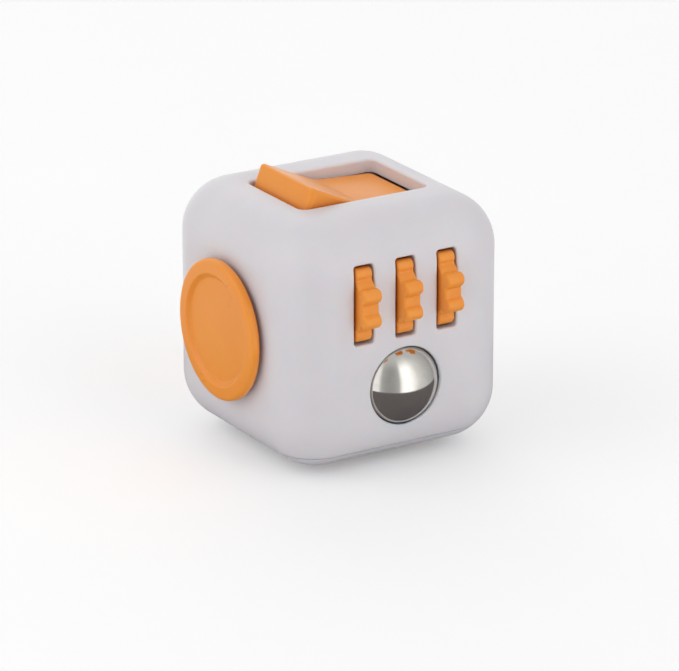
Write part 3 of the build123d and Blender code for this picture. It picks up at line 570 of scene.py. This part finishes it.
# ---------------------------------------------------------------- materials
class Finish:
    """A procedural surface: short calls that add and wire its nodes."""

    def __init__(self, name):
        self.material = bpy.data.materials.new(name)
        self.material.use_nodes = True
        self.nodes = self.material.node_tree.nodes
        self.links = self.material.node_tree.links
        self.surface = self.nodes["Principled BSDF"]
        self.place = self.nodes.new("ShaderNodeTexCoord").outputs["Object"]

    def set(self, **values):
        """Plain values of the surface's inputs."""
        for name, value in values.items():
            self.surface.inputs[name.replace("_", " ")].default_value = value

    def wire(self, source, target):
        """Drive an input of the surface with a pattern."""
        self.links.new(source, self.surface.inputs[target])

    def stretched(self, scale):
        """Coordinates squeezed along each axis, for patterns with a direction."""
        mapping = self.nodes.new("ShaderNodeMapping")
        mapping.inputs["Scale"].default_value = scale
        self.links.new(self.place, mapping.inputs["Vector"])
        return mapping.outputs["Vector"]

    def noise(self, size_mm, detail=3.0, place=None, distortion=0.0):
        """Cloudy pattern whose features are about that size."""
        texture = self.nodes.new("ShaderNodeTexNoise")
        texture.inputs["Scale"].default_value = 1 / (size_mm * MM)
        texture.inputs["Detail"].default_value = detail
        texture.inputs["Distortion"].default_value = distortion
        self.links.new(place or self.place, texture.inputs["Vector"])
        return texture.outputs["Fac"]

    def spread(self, source, low, high, lowest=0.3, highest=0.7):
        """Map the useful part of a pattern onto a range of values."""
        span = self.nodes.new("ShaderNodeMapRange")
        span.inputs["From Min"].default_value = lowest
        span.inputs["From Max"].default_value = highest
        span.inputs["To Min"].default_value = low
        span.inputs["To Max"].default_value = high
        self.links.new(source, span.inputs["Value"])
        return span.outputs["Result"]

    def blend(self, share, first, second):
        """Colour between two colours, by a pattern."""
        mix = self.nodes.new("ShaderNodeMix")
        mix.data_type = "RGBA"
        self.links.new(share, mix.inputs["Factor"])
        for socket, value in (("A", first), ("B", second)):
            entry = next(i for i in mix.inputs if i.name == socket and i.type == "RGBA")
            if isinstance(value, tuple):
                entry.default_value = (*value, 1)
            else:
                self.links.new(value, entry)
        return next(o for o in mix.outputs if o.type == "RGBA")

    def arithmetic(self, operation, first, second):
        """Sum, product and so on of two patterns or numbers."""
        node = self.nodes.new("ShaderNodeMath")
        node.operation = operation
        for entry, value in zip(node.inputs, (first, second)):
            if isinstance(value, (int, float)):
                entry.default_value = value
            else:
                self.links.new(value, entry)
        return node.outputs["Value"]

    def hollows(self, reach_mm):
        """Near 1 in the open and lower in corners and gaps."""
        shade = self.nodes.new("ShaderNodeAmbientOcclusion")
        shade.inputs["Distance"].default_value = reach_mm * MM
        shade.samples = 6
        return shade.outputs["AO"]

    def emboss(self, *layers):
        """Bump from (pattern, height in mm) layers."""
        normal = None
        for pattern, height_mm in layers:
            bump = self.nodes.new("ShaderNodeBump")
            bump.inputs["Distance"].default_value = height_mm * MM
            self.links.new(pattern, bump.inputs["Height"])
            if normal is not None:
                self.links.new(normal, bump.inputs["Normal"])
            normal = bump.outputs["Normal"]
        self.wire(normal, "Normal")


def plastic(name, light, dark, painted_shade_colour, roughness, glow, grain_mm, corner, share):
    """Moulded plastic: cloudy tone, fine eroded grain, handling shine and painted shade in corners.

    Painted shade: occlusion darkens the colour within `corner` mm of a neighbour, up to that
    `share` of it.
    """
    finish = Finish(name)
    tone = finish.blend(finish.spread(finish.noise(9, 4), 0, 1), light, dark)
    # painted shade: ambient occlusion blends the colour towards the shade colour in corners, gaps
    # and slots
    painted_shade_amount = finish.spread(finish.hollows(corner), share, 0, 0.2, 0.85)
    finish.wire(finish.blend(painted_shade_amount, tone, painted_shade_colour), "Base Color")
    handled = finish.spread(finish.noise(6, 5, distortion=0.4), roughness - 0.05, roughness + 0.07)
    speck = finish.spread(finish.noise(0.35, 2), -0.03, 0.03)
    finish.wire(finish.arithmetic("ADD", handled, speck), "Roughness")
    finish.emboss((finish.noise(0.16, 2), grain_mm), (finish.noise(4.5, 1), 0.012))
    finish.set(IOR=1.49, Subsurface_Weight=glow, Subsurface_Scale=0.9 * MM)
    finish.surface.inputs["Subsurface Radius"].default_value = (1.0, 0.55, 0.35)
    return finish.material


def steel(name, colour, shade, roughness, scratch_mm, brushed):
    """Steel with soft smudges, hairline scratches and, if brushed, a drawn grain."""
    finish = Finish(name)
    smudge = finish.noise(2.2, 4, distortion=0.8)
    finish.wire(finish.blend(finish.spread(smudge, 0, 1), colour, shade), "Base Color")
    smeared = finish.spread(smudge, roughness, roughness * 2.2, 0.45, 0.75)
    hairs = finish.noise(0.35, 6, finish.stretched((1, 9, 1)), 1.5)
    scored = finish.spread(hairs, 0, roughness, 0.62, 0.7)
    finish.wire(finish.arithmetic("ADD", smeared, scored), "Roughness")
    drawn = finish.noise(0.12, 2, finish.stretched(brushed))
    finish.emboss((drawn, scratch_mm), (hairs, scratch_mm))
    finish.set(Metallic=1.0)
    return finish.material


def silicone(name):
    """Milky soft rubber with a powdery bloom."""
    finish = Finish(name)
    bloom = finish.noise(1.5, 4)
    tone = finish.blend(finish.spread(bloom, 0, 1), (0.72, 0.71, 0.70), (0.80, 0.79, 0.77))
    finish.wire(tone, "Base Color")
    finish.wire(finish.spread(bloom, 0.55, 0.75), "Roughness")
    finish.emboss((finish.noise(0.2, 2), 0.01))
    finish.set(Subsurface_Weight=0.2, Subsurface_Scale=1 * MM, Sheen_Weight=0.15)
    return finish.material


# The third colour of each plastic is the painted shade laid into its corners and gaps.
white = plastic(
    "body_white", (0.765, 0.742, 0.770), (0.735, 0.712, 0.745), (0.52, 0.50, 0.50),
    roughness=0.40, glow=0.45, grain_mm=0.0035, corner=0.5, share=0.2
)
orange = plastic(
    "accent_orange", (0.95, 0.345, 0.040), (0.93, 0.315, 0.032), (0.55, 0.11, 0.010),
    roughness=0.33, glow=0.2, grain_mm=0.003, corner=1.5, share=0.8
)
inner = plastic(
    "inner_plastic", (0.60, 0.59, 0.62), (0.56, 0.55, 0.58), (0.35, 0.34, 0.34),
    roughness=0.5, glow=0.0, grain_mm=0.006, corner=1, share=0.4
)
slick = plastic(
    "slick_plastic", (0.88, 0.88, 0.86), (0.84, 0.84, 0.82), (0.6, 0.6, 0.58),
    roughness=0.28, glow=0.1, grain_mm=0.002, corner=1, share=0.4
)
polished = steel(
    "ball_steel", (0.69, 0.67, 0.625), (0.62, 0.60, 0.56),
    roughness=0.075, scratch_mm=0.0003, brushed=(1, 1, 1)
)
ground = steel(
    "pin_steel", (0.60, 0.60, 0.62), (0.52, 0.52, 0.54),
    roughness=0.22, scratch_mm=0.002, brushed=(12, 1, 1)
)
rolled = steel(
    "spring_steel", (0.66, 0.66, 0.67), (0.58, 0.58, 0.6),
    roughness=0.26, scratch_mm=0.002, brushed=(1, 10, 1)
)
plated = steel(
    "screw_steel", (0.50, 0.50, 0.49), (0.42, 0.42, 0.43),
    roughness=0.32, scratch_mm=0.003, brushed=(6, 6, 1)
)
FINISHES = {
    "body_white": white,
    "accent_orange": orange,
    "inner_plastic": inner,
    "slick_plastic": slick,
    "ball_steel": polished,
    "pin_steel": ground,
    "spring_steel": rolled,
    "screw_steel": plated,
    "silicone": silicone("silicone"),
}

slot_of_node = {part["node"]: part["material_slot"] for part in frame["record"]["subparts"]}
body_of_node = {
    node: body
    for body, members in frame["record"]["behaviour"]["bodies"].items()
    for node in members
}
for node, thing in frame["nodes"].items():
    thing.data.materials.clear()
    thing.data.materials.append(FINISHES[slot_of_node[node]])


# ---------------------------------------------------------------- the white body
def make_body():
    """Shell and bottom cover, cut from one rounded cube so that they meet all round."""
    cube = rounded_cube(HALF, EDGE_RADIUS, BEND_STEPS, FLAT_CELLS)
    cavity = rounded_cube(HALF - WALL, EDGE_RADIUS - WALL, INNER_BEND_STEPS, INNER_FLAT_CELLS)
    behind_thumb = RIGHT.at(0, 0, -THUMB_WALL).x
    half_width, half_height = THUMB_HALF_WIDTH + 1, THUMB_HALF_HEIGHT + 1
    thumb_block = slab(
        Vector((behind_thumb, -half_width, CENTRE.z - half_height)),
        Vector((behind_thumb + CORE, half_width, CENTRE.z + half_height)),
    )
    cavity = combine(cavity, [thumb_block], "DIFFERENCE")
    cuts = [cavity, ball_relief(), thumb_cutter(), seam_groove()]
    ball_outline = circle(BALL_OPENING, BALL_SPOKES, (0, BALL_CENTRE.z - CENTRE.z))
    cuts.append(opening(FRONT, ball_outline, 2 * BALL_LIP, BALL_RIM))
    for place in (-GEAR_PITCH, 0, GEAR_PITCH):
        slot_outline = rounded_rectangle(
            SLOT_HALF_WIDTH, SLOT_HALF_LENGTH, SLOT_CORNER, (place, AXLE.z - CENTRE.z)
        )
        cuts.append(opening(FRONT, slot_outline, THROUGH))
    cuts.append(opening(LEFT, circle(STEM_HOLE), THROUGH))
    cuts.append(opening(BACK, circle(DIAL_RECESS, DIAL_RECESS_SPOKES), DIAL_RECESS_DEPTH))
    cuts.append(rod(PROUD, 1, HUB_RADIUS + PLAY, BACK.at(0, 0), BACK.out, 64))
    well_outline = rounded_rectangle(WELL_HALF_LENGTH, WELL_HALF_WIDTH, WELL_CORNER)
    cuts.append(opening(ABOVE, well_outline, THROUGH))
    for button in BUTTONS:
        place = middle_mm(button)
        hole = circle(BUTTON_HOLE, BUTTON_HOLE_SPOKES, (place.x, -place.y))
        cuts.append(opening(BELOW, hole, THROUGH, BUTTON_RIM))
    body = combine(cube, cuts, "DIFFERENCE")
    far = Vector((CUBE_REACH, CUBE_REACH, 0))
    upper = slab(Vector((0, 0, SEAM_Z + SEAM_GAP)) - far, Vector((0, 0, 2 * CUBE_REACH)) + far)
    lower = slab(Vector((0, 0, -CUBE_REACH)) - far, Vector((0, 0, SEAM_Z - SEAM_GAP)) + far)
    shell = combine(body.copy(), [upper], "INTERSECT")
    cover = combine(body, [lower], "INTERSECT")
    room_width, room_height = COVER_POCKET
    floor = Vector((0, 0, FACE_Z + COVER_FACE))
    spread = Vector((room_width, room_width, 0))
    room = slab(floor - spread, floor + Z_AXIS * room_height + spread)
    cover = combine(cover, [room], "DIFFERENCE")
    finish_piece("body_shell", clean(shell), "main_shell", white)
    finish_piece("body_cover", clean(cover), "bottom_cover", white)


# ---------------------------------------------------------------- orange parts and the ball
def make_gear(node):
    """Lobed wheel with softened edges and a bore."""
    low, high = box_mm(node)
    place = Vector(((low.x + high.x) / 2, AXLE.y, AXLE.z))
    half_width = (high.x - low.x) / 2
    outline = gear_outline()

    def ring(height, inset):
        points = [point - direction * inset for point, direction in outline]
        return [place + Vector((height, point.x, point.y)) for point in points]

    def bore(height, radius=GEAR_BORE):
        directions = [point.normalized() * radius for point, _ in outline]
        return [place + Vector((height, point.x, point.y)) for point in directions]

    edge = [
        (half_width - GEAR_EDGE * (1 - math.sin(a)), GEAR_EDGE * (1 - math.cos(a)))
        for a in quarter(GEAR_EDGE_STEPS)
    ]
    rings = [bore(half_width), bore(-half_width), bore(-half_width, GEAR_HUB)]
    rings += [ring(-height, inset) for height, inset in reversed(edge)]
    rings += [ring(height, inset) for height, inset in edge]
    rings.append(bore(half_width, GEAR_HUB))
    finish_piece(node + "_wheel", loft(rings, joined=True), node, orange)


def make_rocker():
    """Tilted paddle with a shallow vee on top, its hub round the pin and the keel below."""
    along = Vector((math.cos(ROCKER_TILT), 0, -math.sin(ROCKER_TILT)))
    upwards = Vector((math.sin(ROCKER_TILT), 0, math.cos(ROCKER_TILT)))
    slope = (ROCKER_END_RISE - ROCKER_MIDDLE_RISE) / (ROCKER_HALF_LENGTH - ROCKER_TAPER)
    outline = rounded_rectangle(
        ROCKER_HALF_LENGTH, ROCKER_HALF_WIDTH, ROCKER_CORNER, steps=10, stride=0.4
    )

    def vee(u):
        return ROCKER_MIDDLE_RISE + slope * (math.hypot(u, ROCKER_VALLEY) - ROCKER_VALLEY)

    def place(u, v, height):
        lean = ROCKER_TAPER * (height + ROCKER_BELLY) / (ROCKER_END_RISE + ROCKER_BELLY)
        reach = u * (1 - lean / ROCKER_HALF_LENGTH)
        return PIN + along * reach + Y_AXIS * v + upwards * height

    def ring(inset, height_of):
        points = [point - direction * inset for point, direction in outline]
        return [place(point.x, point.y, height_of(point.x)) for point in points]

    rings = []
    angles = quarter(ROCKER_EDGE_STEPS)
    for angle in reversed(angles):
        level = ROCKER_EDGE * (1 - math.sin(math.pi / 2 - angle)) - ROCKER_BELLY
        rings.append(ring(ROCKER_EDGE * (1 - math.cos(angle)), lambda u: level))
    for angle in angles:
        sink = ROCKER_EDGE * (1 - math.sin(angle))
        rings.append(ring(ROCKER_EDGE * (1 - math.cos(angle)), lambda u: vee(u) - sink))
    inner_outline = [point - direction * ROCKER_EDGE for point, direction in outline]
    for step in range(1, ROCKER_RINGS):
        share = 1 - step / ROCKER_RINGS
        points = [point * share for point in inner_outline]
        rings.append([place(point.x, point.y, vee(point.x)) for point in points])
    rings.append([place(0, 0, vee(0))])
    paddle = loft(rings)

    hub_length, hub_radius = ROCKER_HUB
    hub = rod(hub_length, hub_length, hub_radius, PIN, Y_AXIS, 64)
    keel_rings = []
    for half, height in zip(KEEL_TAPER, (-KEEL_ROOT, -KEEL_LENGTH)):
        keel_rings.append([
            PIN + along * (half * sign_u) + Y_AXIS * (KEEL_HALF_WIDTH * sign_v) + upwards * height
            for sign_u, sign_v in ((1, 1), (-1, 1), (-1, -1), (1, -1))
        ])
    bore_length, bore_radius = ROCKER_BORE
    bore = rod(bore_length, bore_length, bore_radius, PIN, Y_AXIS, 48)
    solid = combine(paddle, [hub, loft(keel_rings)], "UNION")
    finish_piece("rocker_paddle", combine(solid, [bore], "DIFFERENCE"), "rocker", orange)


def make_joystick():
    """Dished pad on its stem; the dish deepens a little towards the middle."""
    low, high = box_mm("joystick_pad")
    radius = (high.y - low.y) / 2
    floor = PAD_PROUD - PAD_DISH_DEPTH
    sag = [
        (floor - PAD_SAG * math.cos(math.pi * share / 2), (PAD_DISH - PAD_SAG_EDGE) * share, 0)
        for share in (0.85, 0.7, 0.55, 0.4, 0.25, 0.1, 0)
    ]
    profile = rounded([
        (STEM_END + STEM_PILOT, 0, 0),
        (STEM_END + STEM_PILOT, PILOT_RADIUS, 0),
        (STEM_END, PILOT_RADIUS, 0),
        (STEM_END, STEM_RADIUS, 0.15),
        (PAD_GAP, STEM_RADIUS, 0.3),
        (PAD_GAP, radius, 0.45),
        (PAD_PROUD, radius, 0.6),
        (PAD_PROUD, PAD_DISH, 0.35),
        (floor, PAD_DISH - PAD_DISH_DEPTH, 0.5),
    ] + sag)
    disc = turned(profile, LEFT.at(0, 0), LEFT.out, 192)
    finish_piece("joystick_disc", disc, "joystick_pad", orange)


def make_dial():
    """Dished disc on its hub, with a finger nub off centre."""
    floor = DIAL_PROUD - DIAL_DISH_DEPTH
    under = DIAL_FLOAT - DIAL_RECESS_DEPTH
    low, high = box_mm("dial")
    radius = (high.x - low.x) / 2
    profile = rounded([
        (HUB_END + HUB_PILOT, 0, 0),
        (HUB_END + HUB_PILOT, PILOT_RADIUS, 0),
        (HUB_END, PILOT_RADIUS, 0),
        (HUB_END, HUB_RADIUS, 0.15),
        (under, HUB_RADIUS, 0),
        (under, radius, 0.2),
        (DIAL_PROUD, radius, 0.5),
        (DIAL_PROUD, DIAL_DISH, 0.3),
        (floor, DIAL_DISH - DIAL_DISH_DEPTH, 0.5),
        (floor, 0, 0),
    ])
    disc = turned(profile, BACK.at(0, 0), BACK.out, 192)
    top = floor + NUB_HEIGHT
    foot_radius = NUB_RADIUS + NUB_FOOT_SPREAD
    nub_profile = rounded([
        (floor - NUB_FOOT, 0, 0),
        (floor - NUB_FOOT, foot_radius, 0),
        (floor - 0.01, foot_radius, 0),
        (floor - 0.01, NUB_RADIUS, 0.3),
        (top, NUB_RADIUS, 0.5),
        (top - 0.08, NUB_CUP_RADIUS, 0.8),
        (top - 0.1, 0, 0),
    ])
    nub = turned(nub_profile, BACK.at(0, NUB_PLACE), BACK.out, 96)
    finish_piece("dial_disc", combine(disc, [nub], "UNION"), "dial", orange)


def make_button(node):
    """Round cap with a flange that holds it inside the cover."""
    low, high = box_mm(node)
    foot = Vector(((low.x + high.x) / 2, (low.y + high.y) / 2, low.z))
    flange = (high.x - low.x) / 2
    barrel = BUTTON_HOLE - PLAY
    shoulder = FACE_Z + COVER_FACE + PLAY - low.z
    profile = rounded([
        (0, 0, 0),
        (0, barrel, 0.5),
        (shoulder, barrel, 0),
        (shoulder, flange, 0.1),
        (high.z - low.z, flange, 0.1),
        (high.z - low.z, 0, 0),
    ])
    finish_piece(node + "_cap", turned(profile, foot, Z_AXIS, 96), node, orange)


def make_ball():
    """Polished ball from an even grid of six patches, so that it has no poles."""
    shares = [2 * step / BALL_CELLS - 1 for step in range(BALL_CELLS + 1)]
    line = [math.tan(math.pi / 4 * share) for share in shares]
    bm = bmesh.new()
    for side in six_sides():
        grid = []
        for u in line:
            spokes = [Vector((u, v, 1)).normalized() * BALL_RADIUS for v in line]
            grid.append([bm.verts.new(BALL_CENTRE + side @ spoke) for spoke in spokes])
        patch(bm, grid)
    bmesh.ops.remove_doubles(bm, verts=bm.verts, dist=WELD)
    finish_piece("steel_ball", closed(bm), "ball", polished)


def make_collar():
    """Thin lip that reaches forward round the ball from a flange behind the wall."""
    flush = HALF + BALL_CENTRE.y
    start = flush - COLLAR_SETBACK - COLLAR_LIP
    inner_end, outer_end = math.asin(start / COLLAR_INNER), math.asin(start / COLLAR_OUTER)
    flange = flush - WALL - PLAY
    outer_start = math.asin(flange / COLLAR_OUTER)
    shares = [step / COLLAR_STEPS for step in range(COLLAR_STEPS + 1)]

    def arc(radius, first, last):
        angles = [first + (last - first) * share for share in shares]
        return [(radius * math.sin(angle), radius * math.cos(angle)) for angle in angles]

    inner_arc = arc(COLLAR_INNER, 0, inner_end)
    lip_in, lip_out = inner_arc[-1][1], COLLAR_OUTER * math.cos(outer_end)
    lip_angles = [math.pi * step / COLLAR_LIP_STEPS for step in range(1, COLLAR_LIP_STEPS)]
    lip = [
        (start + COLLAR_LIP * math.sin(angle),
         (lip_in + lip_out) / 2 - (lip_out - lip_in) / 2 * math.cos(angle))
        for angle in lip_angles
    ]
    profile = inner_arc + lip + arc(COLLAR_OUTER, outer_end, outer_start)
    profile += [(flange, CARRIER_RADIUS), (0, CARRIER_RADIUS)]
    ring = turned(profile, BALL_CENTRE, FRONT.out, BALL_SPOKES)
    reach = Vector((CUBE_REACH, CUBE_REACH, CARRIER_FLAT))
    flats = slab(BALL_CENTRE - reach, BALL_CENTRE + reach)
    finish_piece("ball_ring", combine(ring, [flats], "INTERSECT"), "ball_collar", white)


make_body()
for gear in GEARS:
    make_gear(gear)
make_rocker()
make_joystick()
make_dial()
for button in BUTTONS:
    make_button(button)
make_ball()
make_collar()


# ---------------------------------------------------------------- studio
FLOOR_HALF = 4              # metres
FLOOR_LIFT = 0.2            # keeps the pale floor near white for the camera
TABLE_REACH = 0.050         # reflections see a dark table this far round the cube (m)
TABLE_EDGE = 0.004
VIEW_AZIMUTH, VIEW_ELEVATION = -31.65, 19.8
VIEW_DISTANCE = 600         # mm from the cube's centre
VIEW_SHIFT = (-0.25, 3.905)  # mm to the right and up, where the cube's centre falls
LENS, SENSOR = 246.3, 36


def make_floor():
    """Plain pale sweep; only reflections see a darker table, a painted reflection, with the studio
    beyond it.
    """
    bm = bmesh.new()
    bmesh.ops.create_grid(bm, x_segments=2, y_segments=2, size=FLOOR_HALF)
    mesh = bpy.data.meshes.new("floor")
    bm.to_mesh(mesh)
    bm.free()
    floor = as_object(mesh, "floor")
    finish = Finish("floor_paper")
    paper = finish.blend(finish.noise(30, 4), (0.90, 0.90, 0.90), (0.88, 0.88, 0.885))
    finish.wire(paper, "Base Color")
    finish.emboss((finish.noise(0.8, 3), 0.01))
    finish.set(Roughness=0.75)
    path = finish.nodes.new("ShaderNodeLightPath")
    finish.surface.inputs["Emission Color"].default_value = (1, 1, 1, 1)
    lift = finish.arithmetic("MULTIPLY", path.outputs["Is Camera Ray"], FLOOR_LIFT)
    finish.wire(lift, "Emission Strength")
    # painted reflection: a dark table that only glossy rays see, which darkens the lower half of
    # the ball's reflections
    table = finish.nodes.new("ShaderNodeBsdfDiffuse")
    table.inputs["Color"].default_value = (0.20, 0.185, 0.19, 1)
    reach = finish.nodes.new("ShaderNodeVectorMath")
    reach.operation = "LENGTH"
    finish.links.new(finish.place, reach.inputs[0])
    near = finish.spread(reach.outputs["Value"], 1, 0, TABLE_REACH, TABLE_REACH + TABLE_EDGE)
    open_air = finish.nodes.new("ShaderNodeBsdfTransparent")
    mirrored = finish.nodes.new("ShaderNodeMixShader")
    finish.links.new(near, mirrored.inputs["Fac"])
    finish.links.new(open_air.outputs["BSDF"], mirrored.inputs[1])
    finish.links.new(table.outputs["BSDF"], mirrored.inputs[2])
    choice = finish.nodes.new("ShaderNodeMixShader")
    finish.links.new(path.outputs["Is Glossy Ray"], choice.inputs["Fac"])
    finish.links.new(finish.surface.outputs["BSDF"], choice.inputs[1])
    finish.links.new(mirrored.outputs["Shader"], choice.inputs[2])
    finish.links.new(choice.outputs["Shader"], finish.nodes["Material Output"].inputs["Surface"])
    mesh.materials.append(finish.material)


def soft_light(name, azimuth, elevation, distance, width, height, power, colour=(1, 1, 1)):
    """Rectangular softbox that looks at the cube."""
    lamp = bpy.data.lights.new(name, "AREA")
    lamp.shape = "RECTANGLE"
    lamp.size, lamp.size_y = width, height
    lamp.energy = power
    lamp.color = colour
    light = as_object(lamp, name)
    back = outward(azimuth, elevation)
    light.location = CENTRE * MM + back * distance
    light.rotation_mode = "QUATERNION"
    light.rotation_quaternion = back.to_track_quat("Z", "Y")


def outward(azimuth, elevation):
    """Direction from the cube; azimuth 0 is straight in front of it."""
    a, e = math.radians(azimuth), math.radians(elevation)
    return Vector((math.sin(a) * math.cos(e), -math.cos(a) * math.cos(e), math.sin(e)))


def make_surround(panels, overhead, strength):
    """Ring of soft studio panels, given as (azimuth, brightness) pairs, under an even ceiling."""
    world = bpy.data.worlds.new("surround")
    bpy.context.scene.world = world
    world.use_nodes = True
    nodes, links = world.node_tree.nodes, world.node_tree.links
    place = nodes.new("ShaderNodeTexCoord")
    from_front = nodes.new("ShaderNodeMapping")
    from_front.inputs["Rotation"].default_value = (0, 0, math.pi / 2)
    around = nodes.new("ShaderNodeTexGradient")
    around.gradient_type = "RADIAL"
    ring = nodes.new("ShaderNodeValToRGB")
    ring.color_ramp.interpolation = "B_SPLINE"
    stops = ring.color_ramp.elements
    for azimuth, brightness in panels:
        share = (azimuth + 180) / 360
        stop = stops.new(share) if 0 < share < 1 else stops[round(share)]
        stop.color = (brightness, brightness, brightness, 1)
    split = nodes.new("ShaderNodeSeparateXYZ")
    height = nodes.new("ShaderNodeMapRange")
    height.interpolation_type = "SMOOTHSTEP"
    height.inputs["From Min"].default_value = 0.55
    height.inputs["From Max"].default_value = 0.95
    ceiling = nodes.new("ShaderNodeMix")
    ceiling.data_type = "RGBA"
    colours = [entry for entry in ceiling.inputs if entry.type == "RGBA"]
    colours[1].default_value = (overhead, overhead, overhead, 1)
    background = nodes["Background"]
    background.inputs["Strength"].default_value = strength
    links.new(place.outputs["Generated"], from_front.inputs["Vector"])
    links.new(from_front.outputs["Vector"], around.inputs["Vector"])
    links.new(around.outputs["Fac"], ring.inputs["Fac"])
    links.new(place.outputs["Generated"], split.inputs["Vector"])
    links.new(split.outputs["Z"], height.inputs["Value"])
    links.new(height.outputs["Result"], ceiling.inputs["Factor"])
    links.new(ring.outputs["Color"], colours[0])
    light = next(out for out in ceiling.outputs if out.type == "RGBA")
    links.new(light, background.inputs["Color"])


def make_camera():
    """The view of the reference: from the left, a little above, with a long lens."""
    azimuth = math.radians(VIEW_AZIMUTH)
    back = outward(VIEW_AZIMUTH, VIEW_ELEVATION)
    right = Vector((math.cos(azimuth), math.sin(azimuth), 0))
    upward = back.cross(right)
    shift_right, shift_up = VIEW_SHIFT
    camera = as_object(bpy.data.cameras.new("camera"), "camera")
    place = CENTRE + back * VIEW_DISTANCE - right * shift_right - upward * shift_up
    camera.location = place * MM
    camera.rotation_mode = "QUATERNION"
    camera.rotation_quaternion = back.to_track_quat("Z", "Y")
    camera.data.sensor_width = SENSOR
    camera.data.lens = LENS
    camera.data.clip_start = 0.05
    bpy.context.scene.camera = camera


make_floor()
make_surround(
    [(-180, 0.40), (-120, 0.78), (-64, 0.85), (-54, 0.22), (-12, 0.20), (-3, 1.0), (20, 1.0),
     (40, 0.50), (84, 0.30), (104, 0.18), (180, 0.40)],
    overhead=0.38,
    strength=1.75,
)
soft_light("key", -105, 40, 0.7, 0.45, 0.45, 0.5)
make_camera()
bpy.context.scene.view_settings.view_transform = "Standard"
